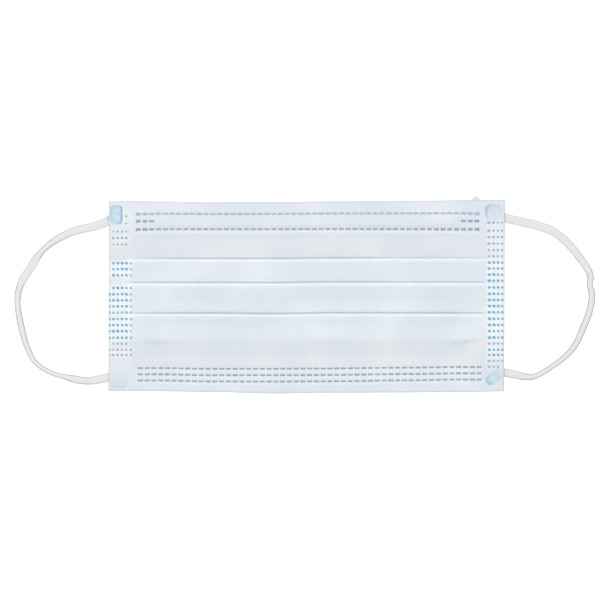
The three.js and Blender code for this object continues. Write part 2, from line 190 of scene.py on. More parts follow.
class MaskSizes(bpy.types.PropertyGroup):
    """The sizes of the folded mask and of its plies."""

    body_width: length("Body Width", "From one cut side to the other", 175)
    nose_panel: length("Nose Panel", "Nose edge to the first fold", 25.2)
    upper_panel: length("Upper Panel", "First fold to the second", 10.6)
    middle_panel: length("Middle Panel", "Second fold to the third", 13.6)
    chin_panel: length("Chin Panel", "Third fold to the chin edge", 35.1)
    pleat_depth: length("Pleat Depth", "Cloth tucked behind each fold", 13)
    hem_depth: length("Hem Depth", "Margin turned over at both long edges", 13)
    edge_bow: length("Edge Bow", "How far the long edges wander from straight", 0.6)
    side_lean: length("Side Lean", "How far the sides lean to the right at the nose edge", 0.15)
    layer_room: length("Layer Room", "Height that one folded layer takes up", 0.7)
    layer_gap: length("Layer Gap", "Air between folded layers", 0.1)
    drape_slope: share("Drape Slope", "Rise over run where cloth comes down off a fold", 0.25)
    ply_thickness: length("Ply Thickness", "One ply of spunbond cloth", 0.13)
    ply_gap: length("Ply Gap", "Between the two plies", 0.04)
    seal_width: length("Seal Width", "Welded strip at each cut side", 10)
    seal_ramp: length("Seal Ramp", "Length over which the pleats close into the seal", 12)
    seal_press: share("Seal Press", "Share of the folded height that the weld leaves", 0.22)
    wire_margin: length("Wire Margin", "Cut side to the end of the nose wire", 23.5)
    wire_inset: length("Wire Inset", "Nose edge to the middle of the nose wire", 9)
    ridge_height: length("Ridge Height", "Rise of the cloth over the nose wire", 0.75)
    ridge_top: length("Ridge Top", "Half width of the ridge's flat top", 1.2)
    ridge_foot: length("Ridge Foot", "Middle of the ridge to its foot", 3.3)
    ridge_fade: length("Ridge Fade", "Length over which the ridge sinks past the wire", 7)
    seat_lift: length("Seat Lift", "Rise of the corners over the loops' ends", 1.2)
    slack: length("Slack", "Height of the cloth's soft unevenness", 0.35)


class WeldSizes(bpy.types.PropertyGroup):
    """The sizes of the welded seams, dots and spots."""

    dash_length: length("Dash Length", "One dash of a seam", 2.1)
    dash_pitch: length("Dash Pitch", "From one dash to the next", 2.994)
    dot_size: length("Dot Size", "Across one dot of a side seal", 1.42)
    film_height: length("Film Height", "How far the melted film stands proud of its dent", 0.09)
    dent_depth: length("Dent Depth", "How deep a weld presses the cloth", 0.12)
    spot_length: length("Spot Length", "The weld that holds a loop's end", 8)
    spot_width: length("Spot Width", "Across that weld", 6.4)
    spot_depth: length("Spot Depth", "How deep it presses the corner", 0.3)


class LoopSizes(bpy.types.PropertyGroup):
    """The sizes of the elastic ear loops."""

    band_width: length("Band Width", "The elastic lying flat", 4.8)
    band_thickness: length("Band Thickness", "Through the elastic", 0.7)
    loop_reach: length("Loop Reach", "How far a loop stands out from the body's side", 40)
    stain_length: length("Stain Length", "Left loop's nose end tinted by its weld", 8)
    rib_height: length("Rib Height", "Relief of the ribs along the elastic", 0.07)
    rib_count: bpy.props.IntProperty(
        name="Rib Count", description="Ribs across the elastic", default=5, min=1, max=9
    )


class MaskColours(bpy.types.PropertyGroup):
    """The colours of the cloth, welds, elastic and floor."""

    single_cloth: colour("Single Cloth", "Wearer's ply where one layer lies", (0.697, 0.72, 0.76))
    folded_cloth: colour("Folded Cloth", "Wearer's ply over more blue layers", (0.69, 0.745, 0.80))
    outer_cloth: colour("Outer Cloth", "Blue outer ply", (0.30, 0.52, 0.72))
    # Fibres bent white, also used for the painted highlight on the folds and beside the seams, the white
    # mottle and the white strip between the seal's dots.
    white_fibres_and_highlight: colour("Worn Fold", "Fibres bent white on the folds", (0.93, 0.945, 0.96))
    # Painted shade in the crevices beside the folds and along the creases.
    crevice_shade: colour("Crevice", "Cloth close beside a fold", (0.35, 0.48, 0.57))
    weld_film: colour("Weld Film", "Melted cloth in the welds", (0.295, 0.40, 0.485))
    pale_film: colour("Pale Film", "Weakly melted welds", (0.42, 0.54, 0.64))
    link_film: colour("Link Film", "Melted cloth in the seam nearest the nose edge", (0.37, 0.5, 0.605))
    faint_film: colour("Faint Film", "Melted cloth between the dashes of that seam", (0.52, 0.61, 0.69))
    dot_film: colour("Dot Film", "Melted dots through all the pleats", (0.21, 0.42, 0.565))
    weak_film: colour("Weak Film", "Melted dots where few layers lie", (0.34, 0.46, 0.555))
    spot_film: colour("Spot Film", "Welds that hold the loops", (0.44, 0.63, 0.745))
    spot_rim: colour("Spot Rim", "Pressed rim of those welds", (0.18, 0.44, 0.60))
    # A darker tint along the body's outline.
    outline_tint: colour("Cut Edge", "Welded plies at the cut sides and long edges", (0.50, 0.54, 0.60))
    elastic: colour("Elastic", "Knitted band", (0.82, 0.825, 0.83))
    # Painted shade in the elastic's grooves, and the tone of its fuzz and stitches.
    elastic_groove_shade_and_tone: colour("Elastic Groove", "Between the band's ribs", (0.64, 0.64, 0.64))
    # Painted shade along the band's outline, strongest where it rolls up.
    elastic_edge_shade: colour("Elastic Edge", "The band's outline where it rolls up", (0.42, 0.422, 0.425))
    wire_coat: colour("Wire Coat", "Plastic on the nose wire", (0.85, 0.85, 0.82))
    floor: colour("Floor", "Plain pale floor", (0.92, 0.92, 0.92))


def smooth(value, low, high):
    """Nought below low, one above high, and a smooth rise between them."""
    part = np.clip((np.asarray(value, float) - low) / (high - low), 0.0, 1.0)
    return part * part * (3.0 - 2.0 * part)


def bell(off, reach):
    """One at nought, falling off softly on both sides."""
    return np.exp(-((off / reach) ** 2))


def table_value(rows, place, column):
    """One column of a table at each place, easing from row to row."""
    places = np.array([row[0] for row in rows])
    values = np.array([getattr(row, column) for row in rows])
    place = np.clip(place, places[0], places[-1])
    after = np.clip(np.searchsorted(places, place), 1, len(rows) - 1)
    eased = smooth((place - places[after - 1]) / (places[after] - places[after - 1]), 0.0, 1.0)
    return values[after - 1] + (values[after] - values[after - 1]) * eased


class Run:
    """One flat run of the folded cloth between two turns, along Y."""

    def __init__(self, start, end, start_inset, end_inset, step):
        self.way = 1 if end > start else -1
        self.bounds = (min(start, end), max(start, end))
        ends = sorted((start + self.way * start_inset, end - self.way * end_inset))
        self.low, self.high = ends
        self.y = np.linspace(self.low, self.high, max(3, round((self.high - self.low) / step)))
        self.height = None


class FoldedCloth:
    """Where every layer of the folded mask lies: first straight and level, then settled."""

    FINE_STEP = 0.00025
    COVER_FADE = 0.0015

    def __init__(self, sizes, welds):
        self.s = sizes
        self.w = welds
        panels = (sizes.nose_panel, sizes.upper_panel, sizes.middle_panel, sizes.chin_panel)
        self.nose_edge = sum(panels) / 2
        self.chin_edge = -self.nose_edge
        self.folds = [self.nose_edge - sum(panels[: i + 1]) for i in range(3)]
        self.pitch = (sizes.layer_room + sizes.layer_gap) * math.hypot(1, sizes.drape_slope)
        self.reach = self.pitch / 2 + sizes.ply_gap / 2 + sizes.ply_thickness
        self.floor_height = sizes.layer_room / 2
        self.half_width = sizes.body_width / 2
        self.seal_inner = self.half_width - sizes.seal_width
        self.folded_end = self.seal_inner - sizes.seal_ramp
        self.half_wire = self.half_width - sizes.wire_margin
        self.wire_line = self.nose_edge - sizes.wire_inset
        self.lay_runs()

    def lay_runs(self):
        """Works out every run's height: hems first, then the panels and pleats in turn."""
        turns = [self.nose_edge - self.s.hem_depth, self.nose_edge]
        for fold in self.folds:
            turns += [fold - self.s.pleat_depth, fold]
        turns += [self.chin_edge, self.chin_edge + self.s.hem_depth]
        last = len(turns) - 2
        insets = [0.0, *[self.reach] * last, 0.0]
        self.runs = [
            Run(turns[i], turns[i + 1], insets[i], insets[i + 1], self.FINE_STEP)
            for i in range(last + 1)
        ]
        stack = [self.runs[0], self.runs[-1], *self.runs[1:-1]]
        for order, run in enumerate(stack):
            height = np.full_like(run.y, self.floor_height)
            for under in stack[:order]:
                nearest = np.clip(run.y, under.low, under.high)
                top = np.interp(nearest, under.y, under.height) + self.pitch
                height = np.maximum(height, top - self.s.drape_slope * np.abs(run.y - nearest))
            run.height = height

    def ridge(self, x, y):
        """How far the nose wire lifts the cloth over it."""
        along = 1.0 - smooth(np.abs(x), self.half_wire, self.half_wire + self.s.ridge_fade)
        off = np.abs(y - self.wire_line)
        across = 1.0 - smooth(off, self.s.ridge_top, self.s.ridge_foot)
        return self.s.ridge_height * along * across

    def unevenness(self, x, y):
        """The cloth's soft waves and creases, never below where it would lie flat."""
        waves = sum(w.weight * np.sin(x * w.along_x + y * w.along_y + w.start) for w in WAVES)
        height = self.s.slack * (0.5 + waves / (2 * sum(w.weight for w in WAVES)))
        for crease in CREASES:
            height = height + crease.height * MM * self.crease_share(crease, x, y)
        flat_sides = 1.0 - smooth(np.abs(x), self.folded_end, self.seal_inner)
        return height * (SEAL_SLACK + (1.0 - SEAL_SLACK) * flat_sides)

    def crease_share(self, crease, x, y):
        """One along a crease, fading to nought beside it and past its ends."""
        start = np.array([crease.x0, crease.y0]) * MM
        way = np.array([crease.x1, crease.y1]) * MM - start
        size = np.hypot(*way)
        way = way / size
        along = (x - start[0]) * way[0] + (y - start[1]) * way[1]
        off = (y - start[1]) * way[0] - (x - start[0]) * way[1]
        begun = smooth(along, -CREASE_FADE, CREASE_FADE)
        ended = smooth(along, size - CREASE_FADE, size + CREASE_FADE)
        return begun * (1.0 - ended) * bell(off, crease.reach * MM)

    def weld_dents(self, x, y):
        """How far seams and spots press the cloth down."""
        depth = np.zeros(np.broadcast(x, y).shape)
        for row in SEAM_ROWS:
            off = y - self.seam_line(row, x)
            depth = depth + self.seam_ends(row, x) * bell(off, SEAM_DENT_REACH)
        for spot in SPOTS:
            depth = depth + self.w.spot_depth / self.w.dent_depth * self.spot_mask(spot, x, y)
        return self.w.dent_depth * depth

    def dot_rows(self, x, y, reach):
        """How strongly the rows of dots press at a place, each within a reach of its line."""
        return sum(np.where(x < 0, row.left, row.right) * bell(y - row.up * MM, reach) for row in DOT_ROWS)

    def dot_dents(self, x, y):
        """How far the dots of the side seals press the cloth down."""
        reach = self.w.dot_size * DOT_DENT_REACH
        across = sum(column.press * bell(x - self.dot_place(column, y), reach) for column in DOT_COLUMNS)
        return self.w.dent_depth * across * self.dot_rows(x, y, reach)

    def seam_line(self, row, x):
        """The Y of a seam before the edges bow: the seam itself takes only half of that bow."""
        across = x / self.half_width
        shift = -table_value(BOW_ROWS, across, "nose") / 2
        if row.edge < 0:
            shift = table_value(BOW_ROWS, across, "seams") - table_value(BOW_ROWS, across, "chin") / 2
        return row.edge * (self.nose_edge - row.inset * MM) + self.s.edge_bow * shift

    def seam_ends(self, row, x):
        """One along a seam and nought past its ends."""
        start = smooth(x, (row.start - 1) * MM, row.start * MM)
        return start * (1.0 - smooth(x, row.end * MM, (row.end + 1) * MM))

    def dot_place(self, column, y):
        """The X of a column of dots at a given Y: columns lean a little."""
        down = (self.nose_edge - y) / (self.nose_edge - self.chin_edge)
        inset = column.top + (column.bottom - column.top) * down
        return column.side * (self.half_width - inset * MM)

    def spot_place(self, spot):
        """The middle of a loop's weld, before the edges bow."""
        x = spot.side * (self.half_width - spot.from_side * self.w.spot_length)
        y = spot.edge * (self.nose_edge - spot.from_edge * self.w.spot_length)
        return x, y

    def spot_mask(self, spot, x, y):
        """One inside a loop's weld and nought outside."""
        cx, cy = self.spot_place(spot)
        turn = math.radians(spot.turn)
        along = (x - cx) * math.cos(turn) + (y - cy) * math.sin(turn)
        across = (y - cy) * math.cos(turn) - (x - cx) * math.sin(turn)
        half_long = self.w.spot_length * spot.long / 2
        half_wide = self.w.spot_width * spot.wide / 2
        reach = np.abs(along / half_long) ** spot.square + np.abs(across / half_wide) ** spot.square
        reach = reach ** (1 / spot.square)
        return 1.0 - smooth(reach, *SPOT_OUTLINE)

    def layers(self, y):
        """How many layers of cloth lie at a Y, fading over each hidden edge."""
        count = np.zeros_like(np.asarray(y, float))
        for run in self.runs:
            low, high = run.bounds
            count = count + smooth(y, low - self.COVER_FADE, low + self.COVER_FADE)
            count = count - smooth(y, high - self.COVER_FADE, high + self.COVER_FADE)
        return count

    def creases(self, x, y):
        """Above a half where fibres are bent or drawn white, where a highlight is painted on the folds and
        beside the seams, and in the white strip between the seal's dots; below it where shade is painted in
        the folds' crevices and along the creases.
        """
        value = np.full(np.shape(y), 0.5)
        ends = 1.0 - smooth(np.abs(x) - self.seal_inner, *FOLD_END)
        for fold, fades in zip(self.folds, FOLD_FADES):
            off = y - fold
            shown = 1.0 - fades.left * smooth(-x, *LEFT_FADE) - fades.right * smooth(x, *RIGHT_FADE)
            # Just below each fold: fibres bent white and a painted highlight. Just above it: painted shade
            # in the crevice.
            fold_white_and_highlight = np.where(off < 0, soft_lines(off, FOLD_WHITE_AND_HIGHLIGHT_LINES), 0.0)
            value = value + ends * (fold_white_and_highlight - soft_lines(off, CREVICE_SHADE_LINES) * shown)
        for row in SEAM_ROWS:
            # Beside each seam: drawn fibres and a painted highlight.
            drawn = soft_lines(y - self.seam_line(row, x), SEAM_WHITE_AND_HIGHLIGHT_LINES)
            value = value + row.white * self.seam_ends(row, x) * drawn
        # Painted shadow along each crease.
        for crease in CREASES:
            value = value - crease.shade * self.crease_share(crease, x, y)
        between = np.minimum(self.dot_rows(x, y, BETWEEN_DOTS), 1.0)
        inner = self.seal_inner + np.where(x > 0, *STRIP_START)
        strip = smooth(np.abs(x) - inner, -STRIP_FADE, 0.0)
        return np.clip(value + STRIP_WHITE * strip * between, 0.0, WHITEST)

    def rim(self, x, y):
        """One on the outline of the folded body, fading out close inside it."""
        inside = np.minimum(self.half_width - np.abs(x), np.minimum(self.nose_edge - y, y - self.chin_edge))
        return 1.0 - smooth(inside, *RIM_FADE)

    def rise(self, index, x, y):
        """The height of the middle of a run's cloth, before the loops lift the corners."""
        run = self.runs[index]
        height = np.interp(y, run.y, run.height) + self.unevenness(x, y)
        if index in PANELS:
            height = height - self.weld_dents(x, y)
        if index == PANELS[0]:
            height = height + self.ridge(x, y)
        sealed = smooth(np.abs(x), self.folded_end, self.seal_inner)
        press = 1.0 - (1.0 - self.s.seal_press) * sealed
        height = self.floor_height + (height - self.floor_height) * press
        if index in PANELS:
            height = height - self.dot_dents(x, y)
        return height

    def settle(self, x, y, z):
        """Where a point of the straight, level mask goes: its edges bow, its corners lift."""
        across = x / self.half_width
        up = (y - self.chin_edge) / (self.nose_edge - self.chin_edge)
        nose_bow = table_value(BOW_ROWS, across, "nose")
        chin_bow = table_value(BOW_ROWS, across, "chin")
        between_edges = 4.0 * up * (1.0 - up)
        fold_bow = table_value(BOW_ROWS, across, "folds") * between_edges
        bow = self.s.edge_bow * (chin_bow + (nose_bow - chin_bow) * up + fold_bow)
        lift = self.s.seat_lift * smooth(np.abs(x), self.half_wire, self.seal_inner)
        lean = self.s.side_lean * (2.0 * up - 1.0)
        return x + lean, y + bow, z + lift

    def top_run(self, y):
        """The panel that shows from above at a Y."""
        for index, fold in zip(PANELS, self.folds):
            if y > fold:
                return index
        return PANELS[3]

    def under_run(self, y):
        """The run that shows from below at a Y."""
        if y > self.nose_edge - self.s.hem_depth:
            return 0
        if y < self.chin_edge + self.s.hem_depth:
            return len(self.runs) - 1
        for index, fold in zip(PANELS, self.folds):
            if y > fold - self.s.pleat_depth:
                return index
        return PANELS[3]


# How far the painted shade in the crevice beside each fold fades towards the left side and towards
# the right, and the distances from the middle of the body, in metres, between which it does so.
FOLD_FADES = table("left right", (0.7, 0.45), (0.0, 0.15), (0.3, 0.0))
LEFT_FADE = (0.055, 0.075)
RIGHT_FADE = (0.025, 0.04)

# The runs that show as panels, and the folds and painted shadows that cross them. Each crease goes from
# x0, y0 to x1, y1 and stands height high within its reach, all in millimetres. shade is how dark the
# painted shadow along it is. Past its ends it fades within a few millimetres.
PANELS = (1, 3, 5, 7)
CREASES = table(
    "x0 y0 x1 y1 reach height shade",
    (60, -21.4, 83, -17.6, 1.5, 0.35, 0.09),
    (4, -15.0, 20, -22.0, 2.5, 0.3, 0.03),
    (-84, -19.3, -60, -19.9, 1.8, 0.25, 0.07),
    (-30, 24.0, 30, 22.5, 5.0, 0.25, 0.05),
    (-60, -27.0, -10, -25.0, 5.0, 0.25, 0.0),
    (-72, -19.6, 76, -19.4, 1.9, 0.0, 0.13),
)
CREASE_FADE = 0.006

# The cloth's soft waves: radians for each metre along X and Y, where each starts, and its weight.
# Only a share of them is left in the pressed side seals.
WAVES = table(
    "along_x along_y start weight",
    (71.0, 38.0, 0.6, 1.0),
    (-43.0, 97.0, 2.1, 1.0),
    (128.0, -61.0, 4.0, 0.7),
)
SEAL_SLACK = 0.25

# How far from its line a seam dents the cloth, in metres, how far from its middle a dot does, as a
# share of its size, and the shares of a loop's weld between which its outline fades.
SEAM_DENT_REACH = 0.0007
DOT_DENT_REACH = 0.55
SPOT_OUTLINE = (0.85, 1.15)

# Soft lines beside a fold or a seam, each as its strength, how far it lies towards the nose edge and
# how far it reaches, in metres: fibres bent white with a painted highlight, and painted shade in the
# crevices, at the folds; drawn fibres with a painted highlight at the seams.
FOLD_WHITE_AND_HIGHLIGHT_LINES = ((0.26, -0.0006, 0.0006), (0.104, -0.0013, 0.0011))
CREVICE_SHADE_LINES = ((0.5, 0.0002, 0.00034),)
SEAM_WHITE_AND_HIGHLIGHT_LINES = ((0.3, -0.0011, 0.00038), (0.09, -0.0022, 0.0013))

# In metres past the inner line of the side seals: between where a fold's lines of painted highlight
# and shade fade out, where the white strip between the dots starts on the right and on the left, and
# how far it fades inwards. Then how far the strip reaches from each row of dots, how white it is, and
# how white cloth gets at most.
FOLD_END = (-0.001, 0.004)
STRIP_START = (0.0022, 0.0004)
STRIP_FADE = 0.0008
BETWEEN_DOTS = 0.0019
STRIP_WHITE = 0.27
WHITEST = 0.86

# How far inside the body's outline its darker tint starts to fade and ends, in metres.
RIM_FADE = (0.0002, 0.0008)

# How finely the cloth is sampled: columns between the side seals, in each ramp and in each seal, how
# far the ramp's columns begin before it, steps along the cloth, in metres, where it shows from above,
# on the outer ply and where it is hidden, and steps around each turn.
MIDDLE_COLUMNS = 54
RAMP_COLUMNS = 9
SEAL_COLUMNS = 20
RAMP_MARGIN = 0.001
WEARER_STEP = 0.00042
OUTER_STEP = 0.0012
HIDDEN_STEP = 0.0022
TURN_PARTS = 8

# The least height of the cloth above the floor.
LEAST_HEIGHT = 0.05 * MM


def soft_lines(off, rows):
    """The sum of soft lines at a distance from the fold or seam that they lie beside."""
    return sum(strength * bell(off - middle, reach) for strength, middle, reach in rows)


def new_object(name, mesh):
    """An object in the scene's own collection."""
    made = bpy.data.objects.new(name, mesh)
    bpy.context.scene.collection.objects.link(made)
    return made


def give_values(mesh, title, values):
    """Gives each point of a mesh a number."""
    attribute = mesh.attributes.new(title, "FLOAT", "POINT")
    attribute.data.foreach_set("value", values.reshape(-1).astype(np.float32))


def corner_points(mesh):
    """Which point lies at each corner of a mesh's faces."""
    corners = np.empty(len(mesh.loops), dtype=np.int32)
    mesh.loops.foreach_get("vertex_index", corners)
    return corners


def give_map(mesh, title, u, v):
    """Gives a mesh a UV map, from both values at each corner."""
    uv = np.stack([u, v], axis=-1)
    mesh.uv_layers.new(name=title).data.foreach_set("uv", uv.astype(np.float32).reshape(-1))


def grid_columns(cloth):
    """The places along X where the cloth is sampled: close together in the seals."""
    inner = cloth.folded_end - RAMP_MARGIN
    middle = np.linspace(-inner, inner, MIDDLE_COLUMNS)
    ramp = np.linspace(inner, cloth.seal_inner, RAMP_COLUMNS)[1:]
    seal = np.linspace(cloth.seal_inner, cloth.half_width, SEAL_COLUMNS)[1:]
    side = np.concatenate([ramp, seal])
    return np.concatenate([-side[::-1], middle, side])


def run_places(cloth, index, fine):
    """The places along Y where a run is sampled, in the order of the cloth."""
    run = cloth.runs[index]
    step = fine if index in PANELS else HIDDEN_STEP
    places = np.linspace(run.low, run.high, max(4, round((run.high - run.low) / step)))
    for row in SEAM_ROWS:
        seam = row.edge * (cloth.nose_edge - row.inset * MM)
        if run.low + step < seam < run.high - step:
            places[np.argmin(np.abs(places - seam))] = seam
    return places if run.way > 0 else places[::-1]


def cloth_surface(cloth, x, fine):
    """The middle of the folded cloth as grids: Y and Z, one row for each place along the cloth."""
    ys, zs = [], []
    for index, run in enumerate(cloth.runs):
        places = run_places(cloth, index, fine)
        grid_x, grid_y = np.meshgrid(x, places)
        heights = cloth.rise(index, grid_x, grid_y)
        ys += list(grid_y)
        zs += list(heights)
        if index == len(cloth.runs) - 1:
            break
        turn_y = places[-1]
        after = cloth.rise(index + 1, x, np.full_like(x, turn_y))
        for part in range(1, TURN_PARTS):
            angle = math.pi * part / TURN_PARTS
            out = run.way * cloth.pitch / 2 * math.sin(angle)
            ys.append(np.full_like(x, turn_y + out))
            zs.append(heights[-1] + (after - heights[-1]) * (1 - math.cos(angle)) / 2)
    return np.array(ys), np.array(zs)


def side_offset(ys, zs, distance):
    """The same grids moved towards the wearer's side of the cloth."""
    dy = np.gradient(ys, axis=0)
    dz = np.gradient(zs, axis=0)
    size = np.hypot(dy, dz)
    return ys + distance * dz / size, zs - distance * dy / size


def ply_mesh(name, cloth, low, high, fine):
    """A closed thin sheet between two distances from the middle of the folded cloth."""
    x = grid_columns(cloth)
    ys, zs = cloth_surface(cloth, x, fine)
    rows, columns = ys.shape
    grid_x = np.broadcast_to(x, ys.shape)
    steps = np.hypot(np.diff(ys, axis=0), np.diff(zs, axis=0))
    along = np.vstack([np.zeros(columns), np.cumsum(steps, axis=0)])
    sides = []
    for distance in (high, low):
        y, z = side_offset(ys, zs, distance)
        sides.append(np.stack(cloth.settle(grid_x, y, np.maximum(z, LEAST_HEIGHT)), axis=-1))
    points = np.concatenate([side.reshape(-1, 3) for side in sides])
    number = np.arange(rows * columns).reshape(rows, columns)
    a, b = number[:-1, :-1], number[:-1, 1:]
    c, d = number[1:, 1:], number[1:, :-1]
    wearer = np.stack([a, b, c, d], axis=-1).reshape(-1, 4)
    outer = np.stack([a, d, c, b], axis=-1).reshape(-1, 4) + rows * columns
    ring = np.concatenate([number[0, :], number[1:, -1], number[-1, -2::-1], number[-2:0:-1, 0]])
    following = np.roll(ring, -1)
    rim = np.stack([following, ring, ring + rows * columns, following + rows * columns], axis=-1)
    faces = np.concatenate([wearer, outer, rim])
    mesh = bpy.data.meshes.new(name)
    mesh.from_pydata(points.tolist(), [], faces.tolist())
    flat = corner_points(mesh) % (rows * columns)
    for title, v in (("Cloth", along), ("Place", ys)):
        give_map(mesh, title, grid_x.reshape(-1)[flat], v.reshape(-1)[flat])
    # crease holds white fibres and painted highlights above a half, and painted shade below it.
    shades = (cloth.layers(ys), cloth.creases(grid_x, ys), cloth.rim(grid_x, ys))
    for title, values in zip(("layers", "crease", "rim"), shades):
        give_values(mesh, title, np.tile(values.reshape(-1), 2))
    mesh.shade_smooth()
    mesh.validate()
    return mesh, float(along[-1].mean())


class Nodes:
    """A material's or group's nodes, made and joined in short calls."""

    def __init__(self, tree):
        self.tree = tree
        self.place = 0

    def add(self, kind, inputs=None, **settings):
        """The outputs of a new node with these settings, and values or sockets for its inputs."""
        node = self.tree.nodes.new(kind)
        self.place += 1
        node.location = (180 * (self.place % 8), -220 * (self.place // 8))
        for name, value in settings.items():
            setattr(node, name, value)
        for name, value in (inputs or {}).items():
            self.join(value, node.inputs[name])
        return node.outputs

    def join(self, source, target):
        """A link, or a plain value, into a socket. A plain colour gets full alpha."""
        if isinstance(source, bpy.types.NodeSocket):
            self.tree.links.new(source, target)
        elif target.type == "RGBA":
            target.default_value = (*source, 1.0)
        else:
            target.default_value = source

    def math(self, operation, *values, clamp=False):
        """One step of arithmetic on numbers or sockets."""
        inputs = dict(enumerate(values))
        return self.add("ShaderNodeMath", inputs, operation=operation, use_clamp=clamp)[0]

    def times(self, first, second):
        """A product."""
        return self.math("MULTIPLY", first, second)

    def plus(self, first, second):
        """A sum."""
        return self.math("ADD", first, second)

    def minus(self, first, second):
        """A difference."""
        return self.math("SUBTRACT", first, second)

    def ramp(self, value, low, high, first=0.0, last=1.0):
        """A smooth step of value from low to high."""
        inputs = dict(enumerate((value, low, high, first, last)))
        return self.add("ShaderNodeMapRange", inputs, interpolation_type="SMOOTHSTEP")[0]

    def coats(self, base, *coats):
        """A colour with coats of other colours on it, each as its share and its colour."""
        for amount, tint in coats:
            base = self.add("ShaderNodeMix", {0: amount, 6: base, 7: tint}, data_type="RGBA")[2]
        return base

    def noise(self, vector, scale, detail=3.0, roughness=0.5):
        """Noise at a scale in cycles for each metre."""
        inputs = {"Vector": vector, "Scale": scale, "Detail": detail, "Roughness": roughness}
        return self.add("ShaderNodeTexNoise", inputs)["Fac"]

    def stretched(self, vector, scale, turn=0.0):
        """A vector scaled, and turned about Z."""
        inputs = {"Vector": vector, "Scale": scale, "Rotation": (0.0, 0.0, turn)}
        return self.add("ShaderNodeMapping", inputs)["Vector"]

    def split(self, vector):
        """The numbers of a vector."""
        return self.add("ShaderNodeSeparateXYZ", {0: vector})

    def given(self, title):
        """The number that the mesh gives its points under a name."""
        return self.add("ShaderNodeAttribute", attribute_name=title)["Fac"]

    def map(self, title):
        """The place in one of the mesh's UV maps."""
        return self.add("ShaderNodeUVMap", uv_map=title)[0]

    def dress(self, base, roughness, gloss=0.5):
        """Gives the material's shader its colour, roughness and gloss."""
        shader = self.tree.nodes["Principled BSDF"]
        self.join(base, shader.inputs["Base Color"])
        self.join(roughness, shader.inputs["Roughness"])
        self.join(gloss, shader.inputs["Specular IOR Level"])
        return shader

    def bump(self, shader, height, strength, distance):
        """Gives the shader relief."""
        inputs = {"Height": height, "Strength": strength, "Distance": distance}
        self.join(self.add("ShaderNodeBump", inputs)[0], shader.inputs["Normal"])


def new_material(name):
    """A material with only a Principled shader, and its nodes."""
    material = bpy.data.materials.new(name)
    material.use_nodes = True
    return material, Nodes(material.node_tree)


def new_group(name, tree_kind, inputs, outputs):
    """An empty node group with named sockets, and what it is given and puts out."""
    tree = bpy.data.node_groups.new(name, tree_kind)
    for title, kind, value in inputs:
        socket = tree.interface.new_socket(title, in_out="INPUT", socket_type="NodeSocket" + kind)
        if value is not None:
            socket.default_value = value
    for title, kind in outputs:
        tree.interface.new_socket(title, in_out="OUTPUT", socket_type="NodeSocket" + kind)
    nodes = Nodes(tree)
    given = nodes.add("NodeGroupInput")
    put = tree.nodes.new("NodeGroupOutput").inputs
    return tree, nodes, given, put


# In the materials below, a noise is its cycles for each metre, its detail and its roughness. A step is
# where it begins and ends, and its first and last value where those aren't nought and one. A share
# says how much of a tint or of a relief there is.

# Spunbond: its patches, the gaps in its lines, and the stretch and turn of its fibres' noise.
PATCH_NOISE = (70.0, 3.0)
GAP_NOISE = (420.0, 2.0)
FIBRE_WAYS = (((900, 7000, 1), 0.5), ((7000, 1100, 1), 0.35), ((1300, 6000, 1), -0.9))
FIBRE_NOISE = (1.0, 2.0)
PIT_STEP = (0.35, 0.9)
RISING_STEP = (0.5, 0.64)
FALLING_STEP = (0.36, 0.5, 1.0, 0.0)
GAP_STEP = (0.35, 0.7)
FIBRE_STEP = (0.45, 0.75)
FIBRE_RELIEF = 0.35
LINE_RELIEF = 0.6


def spunbond_group():
    """Spunbond cloth: point-bonded pits on a slanted lattice, and fibres lying every way."""
    name = "Spunbond"
    if name in bpy.data.node_groups:
        return bpy.data.node_groups[name]
    tree, nodes, given, put = new_group(
        name,
        "ShaderNodeTree",
        [("Vector", "Vector", None), ("Pit Pitch", "Float", 0.001)],
        [(title, "Float") for title in ("Height", "Pits", "Fibres", "Lines")],
    )
    vector = given["Vector"]
    place = nodes.split(vector)
    turn = nodes.math("DIVIDE", 2 * math.pi, given["Pit Pitch"])
    first = nodes.math("COSINE", nodes.times(nodes.plus(place[0], place[1]), turn))
    second = nodes.math("COSINE", nodes.times(nodes.minus(place[0], place[1]), turn))
    pits = nodes.ramp(nodes.times(nodes.plus(first, second), 0.5), *PIT_STEP)
    patches = nodes.noise(vector, *PATCH_NOISE)
    rising = nodes.times(second, nodes.ramp(patches, *RISING_STEP))
    falling = nodes.times(first, nodes.ramp(patches, *FALLING_STEP))
    broken = nodes.ramp(nodes.noise(vector, *GAP_NOISE), *GAP_STEP)
    lines = nodes.times(nodes.plus(rising, falling), broken)
    lengthwise, crosswise, slanted = [
        nodes.noise(nodes.stretched(vector, stretch, way), *FIBRE_NOISE)
        for stretch, way in FIBRE_WAYS
    ]
    fibres = nodes.math("MAXIMUM", nodes.math("MAXIMUM", lengthwise, crosswise), slanted)
    fibres = nodes.ramp(fibres, *FIBRE_STEP)
    height = nodes.minus(nodes.times(fibres, FIBRE_RELIEF), pits)
    height = nodes.plus(height, nodes.times(lines, LINE_RELIEF))
    for title, value in (("Height", height), ("Lines", lines), ("Pits", pits), ("Fibres", fibres)):
        nodes.join(value, put[title])
    return tree


# A loop's weld: how its outline wobbles, where it is filled and where its rim ends inwards, how it
# breaks up into specks and blotches, how its rim fades away from the side that it faces, and how much
# the specks take off the rim.
WOBBLE_NOISE = (700.0, 3.0)
WOBBLE_SHARE = 0.3
INSIDE_STEP = (0.9, 1.08, 1.0, 0.0)
CORE_STEP = (0.55, 0.86, 1.0, 0.0)
BROKEN_STEP = (0.2, 1.3)
SPECK_NOISE = (1100.0, 2.0, 0.6)
SPECK_STEP = (0.46, 0.62)
BLOTCH_NOISE = (380.0, 2.0)
BLOTCH_STEP = (0.35, 0.65, 0.55, 1.0)
PRESSED_STEP = (0.1, 0.9, 0.3, 1.0)
RIM_BREAK = 0.7


